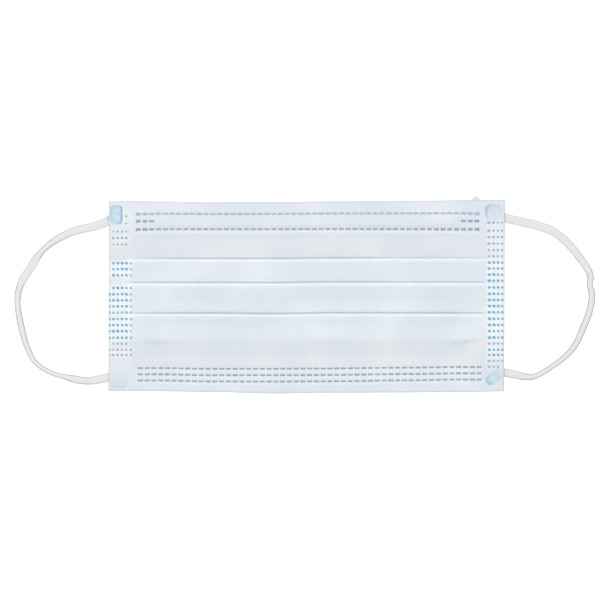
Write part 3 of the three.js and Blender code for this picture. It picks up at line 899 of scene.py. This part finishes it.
def spot_group():
    """A loop's weld on the cloth: a filled mask that breaks up into specks, and its pressed rim."""
    name = "Loop Weld"
    if name in bpy.data.node_groups:
        return bpy.data.node_groups[name]
    numbers = {
        "Centre X": 0.0,
        "Centre Y": 0.0,
        "Half Length": 0.004,
        "Half Width": 0.003,
        "Turn": 0.0,
        "Square": 3.0,
        "Rim Way": 0.0,
        "Specks": 0.5,
        "Specks Way": 0.0,
    }
    tree, nodes, given, put = new_group(
        name,
        "ShaderNodeTree",
        [("Place", "Vector", None)] + [(title, "Float", value) for title, value in numbers.items()],
        [("Mask", "Float"), ("Rim", "Float")],
    )
    place = nodes.split(given["Place"])
    x = nodes.minus(place[0], given["Centre X"])
    y = nodes.minus(place[1], given["Centre Y"])
    half_long, half_wide, square = given["Half Length"], given["Half Width"], given["Square"]

    def towards(angle, size):
        """How far a place lies along a direction from the middle of the weld, in shares of a size."""
        across = nodes.times(x, nodes.math("COSINE", angle))
        up = nodes.times(y, nodes.math("SINE", angle))
        return nodes.math("DIVIDE", nodes.plus(across, up), size)

    long = nodes.math("ABSOLUTE", towards(given["Turn"], half_long))
    wide = nodes.math("ABSOLUTE", towards(nodes.plus(given["Turn"], math.pi / 2), half_wide))
    total = nodes.plus(nodes.math("POWER", long, square), nodes.math("POWER", wide, square))
    reach = nodes.math("POWER", total, nodes.math("DIVIDE", 1.0, square))
    wobble = nodes.minus(nodes.noise(given["Place"], *WOBBLE_NOISE), 0.5)
    reach = nodes.plus(reach, nodes.times(wobble, WOBBLE_SHARE))
    inside = nodes.ramp(reach, *INSIDE_STEP)
    core = nodes.ramp(reach, *CORE_STEP)
    broken = nodes.plus(towards(given["Specks Way"], half_long), given["Specks"])
    broken = nodes.ramp(broken, *BROKEN_STEP)
    specks = nodes.ramp(nodes.noise(given["Place"], *SPECK_NOISE), *SPECK_STEP)
    blotch = nodes.ramp(nodes.noise(given["Place"], *BLOTCH_NOISE), *BLOTCH_STEP)
    filled = nodes.plus(1.0, nodes.times(broken, nodes.minus(specks, 1.0)))
    nodes.join(nodes.times(nodes.times(inside, blotch), filled), put["Mask"])
    pressed = nodes.ramp(towards(given["Rim Way"], half_wide), *PRESSED_STEP)
    rim = nodes.times(nodes.minus(inside, core), pressed)
    nodes.join(nodes.times(rim, nodes.minus(1.0, nodes.times(broken, RIM_BREAK))), put["Rim"])
    return tree


# From one pit of the spunbond to the next, in metres, along the lattice's own directions, and how
# deep its relief is.
PIT_PITCH = 0.0020
CLOTH_RELIEF = 0.00008


def woven(nodes):
    """The spunbond's relief, pits, fibres and lines at a place on the spread cloth."""
    inputs = {"Vector": nodes.map("Cloth"), "Pit Pitch": PIT_PITCH}
    return nodes.add("ShaderNodeGroup", inputs, node_tree=spunbond_group())


# Both plies of cloth: roughness, gloss, how much white their fibres show and how strong their relief
# is on the wearer's ply and on the outer one.
CLOTH_ROUGHNESS = 0.85
CLOTH_GLOSS = 0.25
FIBRE_SHARE = 0.25
WEARER_RELIEF = 0.55
OUTER_RELIEF = 0.6

# The wearer's ply: from how many layers on it looks folded and how cloudy that is, its pits, its
# lines and the tint that lies all over it, its white and blue mottle, its fibres bent white with the
# painted highlight on folds and seams, the painted shade in its crevices and along its creases, and
# the darker tint along its outline.
FOLDED_STEP = (1.2, 3.0)
CLOUD_NOISE = (160.0, 4.0, 0.6)
CLOUD_SHARE = 0.6
PIT_SHARE = 0.10
LINE_SHARE = 0.075
TINT_SHARE = 0.035
MOTTLE_NOISE = (38.0, 2.0, 0.45)
WHITE_MOTTLE = (0.45, 0.75, 0.0, 0.22)
BLUE_MOTTLE = (0.25, 0.55, 0.08, 0.0)
WHITE_AND_HIGHLIGHT_STEP = (0.5, 1.0)
WHITE_AND_HIGHLIGHT_NOISE = (650.0, 3.0, 0.6)
WHITE_AND_HIGHLIGHT_UNEVEN = (0.35, 0.62, 0.6, 1.0)
CREVICE_SHADE_STEP = (0.05, 0.45, 0.85, 0.0)
RIM_SHARE = 0.55

# The outer ply's pale clouds.
PALE_NOISE = (220.0, 4.0, 0.6)
PALE_STEP = (0.3, 0.7, 0.0, 0.18)


def wearer_cloth(cloth, colours, welds):
    """White spunbond with the folds' blue showing through, and the loops' welds on it."""
    material, nodes = new_material("wearer_cloth")
    place = nodes.map("Place")
    weave = woven(nodes)
    clouds = nodes.times(nodes.minus(nodes.noise(place, *CLOUD_NOISE), 0.5), CLOUD_SHARE)
    folded = nodes.math("ADD", nodes.ramp(nodes.given("layers"), *FOLDED_STEP), clouds, clamp=True)
    mottle = nodes.noise(place, *MOTTLE_NOISE)
    crease = nodes.given("crease")
    uneven = nodes.ramp(nodes.noise(place, *WHITE_AND_HIGHLIGHT_NOISE), *WHITE_AND_HIGHLIGHT_UNEVEN)
    base = nodes.coats(
        colours.single_cloth,
        (folded, colours.folded_cloth),
        (nodes.times(weave["Pits"], PIT_SHARE), colours.outer_cloth),
        (nodes.times(weave["Fibres"], FIBRE_SHARE), WHITE),
        (nodes.plus(nodes.times(weave["Lines"], LINE_SHARE), TINT_SHARE), colours.outer_cloth),
        (nodes.ramp(mottle, *WHITE_MOTTLE), colours.white_fibres_and_highlight),
        (nodes.ramp(mottle, *BLUE_MOTTLE), colours.outer_cloth),
        # Fibres bent white, the white strip between the seal's dots, and the painted highlight on folds and
        # seams.
        (nodes.times(nodes.ramp(crease, *WHITE_AND_HIGHLIGHT_STEP), uneven), colours.white_fibres_and_highlight),
        # Painted shade in the folds' crevices and along the creases.
        (nodes.ramp(crease, *CREVICE_SHADE_STEP), colours.crevice_shade),
        # A darker tint along the body's outline.
        (nodes.times(nodes.given("rim"), RIM_SHARE), colours.outline_tint),
    )
    for spot in SPOTS:
        x, y = cloth.spot_place(spot)
        inputs = {
            "Place": place,
            "Centre X": x,
            "Centre Y": y,
            "Half Length": welds.spot_length * spot.long / 2,
            "Half Width": welds.spot_width * spot.wide / 2,
            "Turn": math.radians(spot.turn),
            "Square": spot.square,
            "Rim Way": math.radians(spot.rim_way),
            "Specks": spot.specks,
            "Specks Way": math.radians(spot.specks_way),
        }
        weld = nodes.add("ShaderNodeGroup", inputs, node_tree=spot_group())
        film_share = nodes.times(weld["Mask"], spot.strength)
        rim_share = nodes.times(weld["Rim"], spot.rim)
        base = nodes.coats(base, (film_share, colours.spot_film), (rim_share, colours.spot_rim))
    shader = nodes.dress(base, CLOTH_ROUGHNESS, CLOTH_GLOSS)
    nodes.bump(shader, weave["Height"], WEARER_RELIEF, CLOTH_RELIEF)
    return material


def outer_cloth(colours):
    """Pale blue spunbond."""
    material, nodes = new_material("outer_cloth")
    weave = woven(nodes)
    clouds = nodes.ramp(nodes.noise(nodes.map("Cloth"), *PALE_NOISE), *PALE_STEP)
    fibres = nodes.times(weave["Fibres"], FIBRE_SHARE)
    base = nodes.coats(colours.outer_cloth, (clouds, WHITE), (fibres, WHITE))
    shader = nodes.dress(base, CLOTH_ROUGHNESS, CLOTH_GLOSS)
    nodes.bump(shader, weave["Height"], OUTER_RELIEF, CLOTH_RELIEF)
    return material


def object_place(nodes):
    """The place on the object, in its own coordinates."""
    return nodes.add("ShaderNodeTexCoord")["Object"]


# The welds' film: where it melted through, how rough it is where it did, its gloss, and how strong
# and how deep its relief is.
MELT_NOISE = (700.0, 3.0, 0.6)
MELT_STEP = (0.1, 0.38)
FILM_ROUGHNESS = (0.0, 1.0, 0.75, 0.55)
FILM_GLOSS = 0.15
FILM_RELIEF = (0.3, 0.00005)


def film(name, pale, strong):
    """Cloth melted to a film: darker where it melted through, whiter where fibres are left."""
    material, nodes = new_material(name)
    melt = nodes.ramp(nodes.noise(object_place(nodes), *MELT_NOISE), *MELT_STEP)
    rough = nodes.ramp(melt, *FILM_ROUGHNESS)
    shader = nodes.dress(nodes.coats(pale, (melt, strong)), rough, FILM_GLOSS)
    nodes.bump(shader, melt, *FILM_RELIEF)
    return material


# From one stitch of the elastic to the next and how far the stitches slant across a rib, in metres.
STITCH_PITCH = 0.0009
STITCH_SLANT = 0.0004

# The elastic: its grooves, its fuzz along the band, what share of the darker colour its grooves, fuzz
# and stitches show, as painted shade in the grooves and as tone in the fuzz and stitches, how much of
# the weld's tint its stain shows, its roughness, gloss and relief.
GROOVE_STEP = (-0.9, 0.1, 1.0, 0.0)
FUZZ_STRETCH = (6, 2500, 1)
FUZZ_NOISE = (1.0, 3.0, 0.6)
GROOVE_SHARE = 0.4
FUZZ_SHARE = 0.2
STITCH_SHARE = 0.12
STAIN_SHARE = 0.75
ELASTIC_ROUGHNESS = 0.9
ELASTIC_GLOSS = 0.2
STITCH_RELIEF = 0.15
RIB_RELIEF = 0.5
FUZZ_RELIEF = 0.5
ELASTIC_RELIEF = (0.6, 0.0001)


def knitted_elastic(colours, sizes):
    """White knitted elastic: ribs along it, stitches across them."""
    material, nodes = new_material("knitted_elastic")
    place = nodes.map("Band")
    across, along, _ = nodes.split(place)
    ribs = nodes.math("COSINE", nodes.times(across, 2 * math.pi * sizes.rib_count))
    slant = nodes.times(nodes.math("ABSOLUTE", ribs), STITCH_SLANT)
    stitch = nodes.math("SINE", nodes.times(nodes.plus(along, slant), 2 * math.pi / STITCH_PITCH))
    groove = nodes.ramp(ribs, *GROOVE_STEP)
    fuzz = nodes.noise(nodes.stretched(place, FUZZ_STRETCH), *FUZZ_NOISE)
    hatch = nodes.times(nodes.plus(stitch, 1.0), STITCH_SHARE)
    shade = nodes.plus(nodes.times(groove, GROOVE_SHARE), nodes.times(fuzz, FUZZ_SHARE))
    shade = nodes.plus(shade, hatch)
    base = nodes.coats(
        colours.elastic,
        # Painted shade in the grooves, with the tone of the fuzz and stitches.
        (shade, colours.elastic_groove_shade_and_tone),
        # Painted shade along the band's outline.
        (nodes.given("outline"), colours.elastic_edge_shade),
        (nodes.times(nodes.given("stain"), STAIN_SHARE), colours.spot_film),
    )
    height = nodes.plus(nodes.times(stitch, STITCH_RELIEF), nodes.times(ribs, RIB_RELIEF))
    height = nodes.plus(height, nodes.times(fuzz, FUZZ_RELIEF))
    nodes.bump(nodes.dress(base, ELASTIC_ROUGHNESS, ELASTIC_GLOSS), height, *ELASTIC_RELIEF)
    return material


# The wire's coat: its streaks, how much of the darker tint they show, and how rough they are.
STREAK_STRETCH = (60, 4000, 4000)
STREAK_NOISE = (1.0, 2.0)
STREAK_SHARE = 0.2
STREAK_TINT = (0.7, 0.7, 0.68)
STREAK_ROUGHNESS = (0.3, 0.7, 0.4, 0.55)


def wire_coat(colours):
    """White plastic over the nose wire, drawn lengthwise."""
    material, nodes = new_material("wire_coat")
    streaks = nodes.noise(nodes.stretched(object_place(nodes), STREAK_STRETCH), *STREAK_NOISE)
    base = nodes.coats(colours.wire_coat, (nodes.times(streaks, STREAK_SHARE), STREAK_TINT))
    nodes.dress(base, nodes.ramp(streaks, *STREAK_ROUGHNESS))
    return material


# A weld's pad: how many corners its rings have, how square they are, and each ring's size and height
# as shares of its own.
PAD_CORNERS = 14
PAD_SQUARE = 2.6
PAD_RINGS = ((1.0, -1.0), (1.0, 0.3), (0.82, 0.88), (0.5, 1.0))


def pad_template():
    """One small weld of unit size: a low pad with a rounded outline and a sloping rim."""
    mesh = bmesh.new()
    rings = []
    for size, height in PAD_RINGS:
        ring = []
        for k in range(PAD_CORNERS):
            angle = 2 * math.pi * k / PAD_CORNERS
            c, s = math.cos(angle), math.sin(angle)
            stretch = (abs(c) ** PAD_SQUARE + abs(s) ** PAD_SQUARE) ** (-1 / PAD_SQUARE) / 2
            ring.append(mesh.verts.new((c * stretch * size, s * stretch * size, height)))
        rings.append(ring)
    for low, high in zip(rings, rings[1:]):
        for k in range(PAD_CORNERS):
            m = (k + 1) % PAD_CORNERS
            mesh.faces.new((low[k], low[m], high[m], high[k]))
    mesh.faces.new(rings[-1])
    mesh.faces.new(reversed(rings[0]))
    made = bpy.data.meshes.new("weld_pad")
    mesh.to_mesh(made)
    mesh.free()
    made.shade_smooth()
    return new_object("weld_pad", made)


def weld_tree(material):
    """A node tree that puts a pad on every point, sized and turned by the point's attributes."""
    tree, nodes, given, put = new_group(
        "Welds",
        "GeometryNodeTree",
        [
            ("Geometry", "Geometry", None),
            ("Pad", "Object", None),
            ("Unevenness", "Float", 0.12),
            ("Seed", "Int", 7),
        ],
        [("Geometry", "Geometry")],
    )
    pad = nodes.add("GeometryNodeObjectInfo", {"Object": given["Pad"]})
    turn, size = [
        nodes.add("GeometryNodeInputNamedAttribute", {"Name": title}, data_type="FLOAT_VECTOR")
        for title in ("turn", "size")
    ]
    low = nodes.minus(1.0, given["Unevenness"])
    high = nodes.plus(1.0, given["Unevenness"])
    inputs = {2: low, 3: high, "Seed": given["Seed"]}
    chance = nodes.add("FunctionNodeRandomValue", inputs, data_type="FLOAT")
    inputs = {0: size["Attribute"], "Scale": chance[1]}
    scaled = nodes.add("ShaderNodeVectorMath", inputs, operation="SCALE")
    inputs = {
        "Points": given["Geometry"],
        "Instance": pad["Geometry"],
        "Rotation": turn["Attribute"],
        "Scale": scaled[0],
    }
    placed = nodes.add("GeometryNodeInstanceOnPoints", inputs)
    real = nodes.add("GeometryNodeRealizeInstances", {0: placed[0]})
    finished = nodes.add("GeometryNodeSetMaterial", {"Geometry": real[0], "Material": material})
    nodes.join(finished[0], put[0])
    return tree


def surface_points(cloth, x, y, above):
    """Points on the middle of the cloth that shows from above or from below, as rows of three."""
    shows = cloth.top_run if above else cloth.under_run
    index = np.array([shows(place) for place in y])
    z = np.zeros_like(x)
    for run in np.unique(index):
        here = index == run
        z[here] = cloth.rise(run, x[here], y[here])
    return np.stack(cloth.settle(x, y, z), axis=-1)


# How far from a weld the cloth's slope is measured, in metres.
SLOPE_STEP = 0.0004


def weld_points(cloth, marks, above):
    """Points on the cloth for marks of (x, y, long, wide), on the side above or below it."""
    surface = cloth.s.ply_gap / 2 + cloth.s.ply_thickness
    x, y, long, wide = np.array(marks).T
    points = surface_points(cloth, x, y, above)
    along = surface_points(cloth, x + SLOPE_STEP, y, above) - points
    up = surface_points(cloth, x, y + SLOPE_STEP, above) - points
    rows = []
    for i, point in enumerate(points):
        tangent = Vector(along[i]).normalized()
        normal = tangent.cross(Vector(up[i])).normalized() * (1 if above else -1)
        turn = Matrix((tangent, normal.cross(tangent), normal)).transposed().to_euler()
        rows.append((Vector(point) + normal * surface, turn, (long[i], wide[i], cloth.w.film_height)))
    return rows


def weld_piece(name, rows, material, pad):
    """All the welds of one kind as one mesh."""
    mesh = bpy.data.meshes.new(name + "_points")
    mesh.from_pydata([tuple(point) for point, _, _ in rows], [], [])
    for title, values in (("turn", [r[1] for r in rows]), ("size", [r[2] for r in rows])):
        attribute = mesh.attributes.new(title, "FLOAT_VECTOR", "POINT")
        attribute.data.foreach_set("vector", np.array([tuple(v) for v in values], np.float32).reshape(-1))
    points = new_object(name + "_points", mesh)
    modifier = points.modifiers.new("Welds", "NODES")
    modifier.node_group = weld_tree(material)
    for item in modifier.node_group.interface.items_tree:
        if item.in_out == "INPUT" and item.name == "Pad":
            modifier[item.identifier] = pad
    graph = bpy.context.evaluated_depsgraph_get()
    made = bpy.data.meshes.new_from_object(points.evaluated_get(graph))
    points.modifiers.remove(modifier)
    bpy.data.objects.remove(points)
    made.materials.clear()
    made.materials.append(material)
    return new_object(name, made)


# A loop's line: parts between two points of its route, rounds of smoothing, and places along it.
ROUTE_PARTS = 24
SMOOTHINGS = 6
BAND_PLACES = 420


def curve_points(route, side, cloth, sizes):
    """Points at even steps along a smooth line through a loop's route, on the floor."""
    places = np.array(
        [
            (side * (cloth.half_width + out * sizes.loop_reach), up * cloth.nose_edge)
            for out, up in route
        ]
    )
    ends = np.vstack([2 * places[0] - places[1], places, 2 * places[-1] - places[-2]])
    dense = []
    t = np.linspace(0, 1, ROUTE_PARTS, endpoint=False)[:, None]
    for a, b, c, d in zip(ends, ends[1:], ends[2:], ends[3:]):
        squared = (2 * a - 5 * b + 4 * c - d) * t**2
        cubed = (3 * b - a - 3 * c + d) * t**3
        dense.append(0.5 * (2 * b + (c - a) * t + squared + cubed))
    dense = np.vstack(dense + [places[-1:]])
    travelled = np.concatenate([[0], np.cumsum(np.hypot(*np.diff(dense, axis=0).T))])
    even = np.linspace(0, travelled[-1], BAND_PLACES)
    line = np.stack([np.interp(even, travelled, dense[:, k]) for k in (0, 1)], axis=-1)
    for _ in range(SMOOTHINGS):
        line[1:-1] = (line[:-2] + 2 * line[1:-1] + line[2:]) / 4
    return line, float(travelled[-1])


# A band's section: points across each face, how square its thin edges are and the least share of
# its thickness there, the least angle that it bends through, and its height above the floor in metres.
BAND_ACROSS = 34
EDGE_SQUARE = 6
EDGE_LEAST = 0.05
LEAST_CURL = 0.02
BAND_LIFT = 0.00006

# How dark the painted shade on a band's outline is where it lies flat, against where it is rolled up,
# between which shares of its half width the shade rises and falls again, and how far it falls in the
# fringe.
OUTLINE_FLAT = 0.12
OUTLINE_RISE = (0.5, 0.8)
OUTLINE_FALL = (0.84, 1.0)
FRINGE_FALL = 0.75

# The share of the stained length at which the stain starts to fade.
STAIN_FADE = 0.8


def band_section(sizes, curl):
    """A section of the band as rows of (across, up), how far its middle lies off, and the painted shade on
    its outline.
    """
    phase = np.linspace(-0.5, 0.5, BAND_ACROSS)
    width = sizes.band_width - sizes.band_thickness * 0.5
    radius = width / max(curl, LEAST_CURL)
    angle = phase * width / radius
    lateral = radius * np.sin(angle)
    middle_line = np.stack([lateral, radius * (np.cos(angle) - 1)], axis=-1)
    out = np.stack([np.sin(angle), np.cos(angle)], axis=-1)
    edge = np.sqrt(np.clip(1 - (np.abs(phase) * 2) ** EDGE_SQUARE, EDGE_LEAST, 1))
    thick = sizes.band_thickness / 2 * edge
    rib = sizes.rib_height * (np.cos(2 * math.pi * sizes.rib_count * phase) - 1) / 2
    upper = middle_line + out * (thick + rib)[:, None]
    lower = middle_line - out * thick[:, None]
    section = np.vstack([upper, lower[::-1]])
    section[:, 1] += BAND_LIFT - section[:, 1].min()
    right, left = section[:, 0].max(), section[:, 0].min()
    off = np.abs(section[:, 0] - (right + left) / 2) / ((right - left) / 2)
    # Painted shade on the band's outline, stronger where it is rolled up.
    rolled = OUTLINE_FLAT + (1 - OUTLINE_FLAT) * min(curl / math.pi, 1.0) ** 2
    outline = rolled * smooth(off, *OUTLINE_RISE) * (1 - FRINGE_FALL * smooth(off, *OUTLINE_FALL))
    return section, lateral.mean(), outline


def band_mesh(name, line, total, rows, sizes, stain):
    """A flat ribbed band along a line, its section curling as its table says, its start stained."""
    count = len(line)
    ring = 2 * BAND_ACROSS
    forward = np.gradient(line, axis=0)
    forward /= np.hypot(*forward.T)[:, None]
    left = np.stack([-forward[:, 1], forward[:, 0]], axis=-1)
    along = np.linspace(0, 1, count)
    curl = np.radians(table_value(rows, along, "curl"))
    points = np.empty((count, ring, 3))
    outline = np.empty((count, ring))
    middles = np.empty((count, 3))
    for i in range(count):
        section, off, outline[i] = band_section(sizes, curl[i])
        points[i, :, :2] = line[i] + left[i] * section[:, :1]
        points[i, :, 2] = section[:, 1]
        middles[i] = (*(line[i] + left[i] * off), section[:, 1].mean())
    number = np.arange(count * ring).reshape(count, ring)
    after = np.roll(number, -1, axis=1)
    faces = np.stack([number[:-1], after[:-1], after[1:], number[1:]], axis=-1).reshape(-1, 4).tolist()
    faces.append(number[0][::-1].tolist())
    faces.append(number[-1].tolist())
    mesh = bpy.data.meshes.new(name)
    mesh.from_pydata(points.reshape(-1, 3).tolist(), [], faces)
    phase = np.linspace(-0.5, 0.5, BAND_ACROSS)
    around = np.concatenate([phase, phase[::-1]])
    corners = corner_points(mesh)
    give_map(mesh, "Band", around[corners % ring], (corners // ring) / (count - 1) * total)
    stained = 1.0 - smooth(along * total, stain * STAIN_FADE, stain) if stain else along * 0.0
    give_values(mesh, "outline", outline)
    give_values(mesh, "stain", np.repeat(stained, ring))
    mesh.shade_smooth()
    tidy = bmesh.new()
    tidy.from_mesh(mesh)
    bmesh.ops.recalc_face_normals(tidy, faces=tidy.faces)
    tidy.to_mesh(mesh)
    tidy.free()
    return mesh, middles


def settings():
    """The scene's own sizes and colours."""
    scene = bpy.context.scene
    return scene.mask_sizes, scene.mask_welds, scene.mask_loops, scene.mask_colours


# The floor's grain: its cycles for each metre, how much of its darker tint it shows, and that tint.
# Then how rough the floor is.
FLOOR_NOISE = 40.0
FLOOR_SHARE = 0.02
FLOOR_TINT = (0.85, 0.85, 0.85)
FLOOR_ROUGHNESS = 0.9

# The studio: light names, places in metres, sizes across in metres and powers in watts, how brightly
# the world and the floor shine, the floor's half width, the camera's height, the point above which it
# hangs, the width and the nearest place that it sees, and its sensor's width in millimetres.
LIGHTS = [
    ("key", (-0.12, 0.22, 1.35), 0.8, 10.0),
]
WORLD_LIGHT = 0.6
FLOOR_GLOW = 0.5
FLOOR_HALF = 3.0
CAMERA_HEIGHT = 1.5
CAMERA_AIM = (-0.0029, -0.0014)
VIEW_WIDTH = 0.26547
NEAREST_SEEN = 0.01
SENSOR = 36.0


class MASK_OT_stage(bpy.types.Operator):
    """Make the floor, the lights and the camera"""

    bl_idname = "mask.stage"
    bl_label = "Floor, Lights and Camera"

    def execute(self, context):
        colours = settings()[3]
        mesh = bpy.data.meshes.new("floor")
        corners = [(x * FLOOR_HALF, y * FLOOR_HALF, 0) for x, y in ((-1, -1), (1, -1), (1, 1), (-1, 1))]
        mesh.from_pydata(corners, [], [(0, 1, 2, 3)])
        floor = new_object("floor", mesh)
        material, nodes = new_material("pale_floor")
        grain = nodes.times(nodes.noise(object_place(nodes), FLOOR_NOISE), FLOOR_SHARE)
        shader = nodes.dress(nodes.coats(colours.floor, (grain, FLOOR_TINT)), FLOOR_ROUGHNESS)
        nodes.join(WHITE, shader.inputs["Emission Color"])
        nodes.join(FLOOR_GLOW, shader.inputs["Emission Strength"])
        mesh.materials.append(material)
        world = bpy.data.worlds.new("studio")
        world.use_nodes = True
        background = world.node_tree.nodes["Background"]
        background.inputs["Color"].default_value = (*WHITE, 1.0)
        background.inputs["Strength"].default_value = WORLD_LIGHT
        context.scene.world = world
        for name, place, size, power in LIGHTS:
            lamp = bpy.data.lights.new(name, "AREA")
            lamp.shape = "DISK"
            lamp.size = size
            lamp.energy = power
            made = new_object(name, lamp)
            made.location = place
            made.rotation_euler = (-Vector(place)).to_track_quat("-Z", "Y").to_euler()
        lens = bpy.data.cameras.new("camera")
        lens.sensor_width = SENSOR
        lens.lens = SENSOR * CAMERA_HEIGHT / VIEW_WIDTH
        lens.clip_start = NEAREST_SEEN
        camera = new_object("camera", lens)
        camera.location = (*CAMERA_AIM, CAMERA_HEIGHT)
        context.scene.camera = camera
        context.scene.view_settings.view_transform = "Standard"
        return {"FINISHED"}


class MASK_OT_ear_loops(bpy.types.Operator):
    """Make the two elastic ear loops"""

    bl_idname = "mask.ear_loops"
    bl_label = "Ear Loops"

    def execute(self, context):
        sizes, welds, loops, colours = settings()
        cloth = FoldedCloth(sizes, welds)
        material = knitted_elastic(colours, loops)
        for side, title, route, rows, stain in (
            (-1, "left", LEFT_ROUTE, LEFT_BAND, loops.stain_length),
            (1, "right", RIGHT_ROUTE, RIGHT_BAND, 0.0),
        ):
            line, total = curve_points(route, side, cloth, loops)
            mesh, middles = band_mesh("elastic_" + title, line, total, rows, loops, stain)
            mesh.materials.append(material)
            band = new_object("elastic_" + title, mesh)
            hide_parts("ear_loop_" + title)
            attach(band, "root")
        return {"FINISHED"}


class MASK_OT_nose_wire(bpy.types.Operator):
    """Finish the nose wire in its hem"""

    bl_idname = "mask.nose_wire"
    bl_label = "Nose Wire"

    def execute(self, context):
        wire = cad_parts["nose_wire"]
        wire.data.materials.clear()
        wire.data.materials.append(wire_coat(settings()[3]))
        return {"FINISHED"}


class MASK_OT_plies(bpy.types.Operator):
    """Make the wearer's ply and the outer ply"""

    bl_idname = "mask.plies"
    bl_label = "Plies"

    def execute(self, context):
        sizes, welds, _, colours = settings()
        cloth = FoldedCloth(sizes, welds)
        near = sizes.ply_gap / 2
        far = near + sizes.ply_thickness
        mesh, span = ply_mesh("wearer_ply", cloth, near, far, WEARER_STEP)
        mesh.materials.append(wearer_cloth(cloth, colours, welds))
        wearer = new_object("wearer_ply", mesh)
        mesh, _ = ply_mesh("outer_ply", cloth, -far, -near, OUTER_STEP)
        mesh.materials.append(outer_cloth(colours))
        outer = new_object("outer_ply", mesh)
        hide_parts("mask_body")
        for ply, under in ((wearer, "outer_ply"), (outer, "floor")):
            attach(ply, "root")
        return {"FINISHED"}


# Where the beads of a dash lie, one bead and the weak link between two dashes, as shares of the
# dash's length, and how wide that link is as a share of the dash's width.
BEADS = (-1 / 3, 0, 1 / 3)
BEAD_LENGTH = 0.42
LINK_LENGTH = 0.55
LINK_WIDTH = 0.45

# How much of a loop's weld hides a dot, the weakest press that still leaves one, and how far up the
# dots on the cut side go, in millimetres from the middle of the body. Then the size of a dot that is
# barely pressed, as a share of a full one, and what a strong dot's row and column press at least.
HIDING_WELD = 0.3
FAINTEST_DOT = 0.28
EDGE_DOTS_TOP = 3.0
LEAST_DOT = 0.52
STRONG_ROW = 0.78
STRONG_COLUMN = 0.6


def seam_marks(cloth, welds):
    """The beads of the strong dashes, those of the pale ones, and the links between the latter."""
    beads, pale_beads, links = [], [], []
    for row in SEAM_ROWS:
        wide = row.wide * MM
        marks = pale_beads if row.pale else beads
        for i in range(round((row.end - row.start) * MM / welds.dash_pitch)):
            middle = row.start * MM + (i + 0.5) * welds.dash_pitch
            if row.pale and i > 0:
                x = middle - welds.dash_pitch / 2
                link = (welds.dash_length * LINK_LENGTH, wide * LINK_WIDTH)
                links.append((x, cloth.seam_line(row, x), *link))
            for bead in BEADS:
                x = middle + bead * welds.dash_length
                marks.append((x, cloth.seam_line(row, x), welds.dash_length * BEAD_LENGTH, wide))
    return beads, pale_beads, links


def dot_marks(cloth, welds):
    """The strong dots of the side seals and the weak ones."""
    strong_dots, weak_dots = [], []
    for column in DOT_COLUMNS:
        for row in DOT_ROWS:
            y = row.up * MM
            x = cloth.dot_place(column, y)
            strength = row.left if column.side < 0 else row.right
            press = strength * column.press
            hidden = max(cloth.spot_mask(spot, x, y) for spot in SPOTS) > HIDING_WELD
            above_edge = column.lowest and row.up > EDGE_DOTS_TOP
            if press < FAINTEST_DOT or above_edge or hidden:
                continue
            size = welds.dot_size * (LEAST_DOT + (1 - LEAST_DOT) * press)
            strong = strength > STRONG_ROW and column.press > STRONG_COLUMN
            (strong_dots if strong else weak_dots).append((x, y, size * column.wide, size))
    return strong_dots, weak_dots


class MASK_OT_welds(bpy.types.Operator):
    """Make the dashed seams and the side seals' dots"""

    bl_idname = "mask.welds"
    bl_label = "Welds"

    def execute(self, context):
        sizes, welds, _, colours = settings()
        cloth = FoldedCloth(sizes, welds)
        beads, pale_beads, links = seam_marks(cloth, welds)
        strong_dots, weak_dots = dot_marks(cloth, welds)
        pale, single = colours.pale_film, colours.single_cloth
        pad = pad_template()
        for name, marks, film_name, thin, melted in (
            ("seam_dashes", beads, "seam_film", pale, colours.weld_film),
            ("seam_dashes_pale", pale_beads, "seam_film_pale", pale, colours.link_film),
            ("seam_links", links, "link_film", single, colours.faint_film),
            ("seal_dots", strong_dots, "dot_film", pale, colours.dot_film),
            ("seal_dots_pale", weak_dots, "dot_film_pale", single, colours.weak_film),
        ):
            rows = weld_points(cloth, marks, True) + weld_points(cloth, marks, False)
            piece = weld_piece(name, rows, film(film_name, thin, melted), pad)
            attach(piece, "root")
        bpy.data.objects.remove(pad)
        return {"FINISHED"}


class MASK_PT_panel(bpy.types.Panel):
    """The mask's sizes, colours and pieces"""

    bl_label = "Face Mask"
    bl_idname = "MASK_PT_panel"
    bl_space_type = "VIEW_3D"
    bl_region_type = "UI"
    bl_category = "Face Mask"

    def draw(self, context):
        for operator in OPERATORS:
            self.layout.operator(operator.bl_idname)
        for group in settings():
            box = self.layout.box()
            for name in type(group).__annotations__:
                box.prop(group, name)


OPERATORS = (MASK_OT_stage, MASK_OT_ear_loops, MASK_OT_nose_wire, MASK_OT_plies, MASK_OT_welds)
GROUPS = {
    "mask_sizes": MaskSizes,
    "mask_welds": WeldSizes,
    "mask_loops": LoopSizes,
    "mask_colours": MaskColours,
}


def register():
    """Registers the add-on's classes and its properties."""
    for name, group in GROUPS.items():
        bpy.utils.register_class(group)
        setattr(bpy.types.Scene, name, bpy.props.PointerProperty(type=group))
    for item in (*OPERATORS, MASK_PT_panel):
        bpy.utils.register_class(item)


def unregister():
    """Takes them away again."""
    for item in (MASK_PT_panel, *reversed(OPERATORS)):
        bpy.utils.unregister_class(item)
    for name, group in reversed(GROUPS.items()):
        delattr(bpy.types.Scene, name)
        bpy.utils.unregister_class(group)


def main():
    """Dresses the frame."""
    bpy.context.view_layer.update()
    register()
    bpy.ops.mask.stage()
    bpy.ops.mask.ear_loops()
    bpy.ops.mask.nose_wire()
    bpy.ops.mask.plies()
    bpy.ops.mask.welds()


if __name__ == "__main__":
    main()
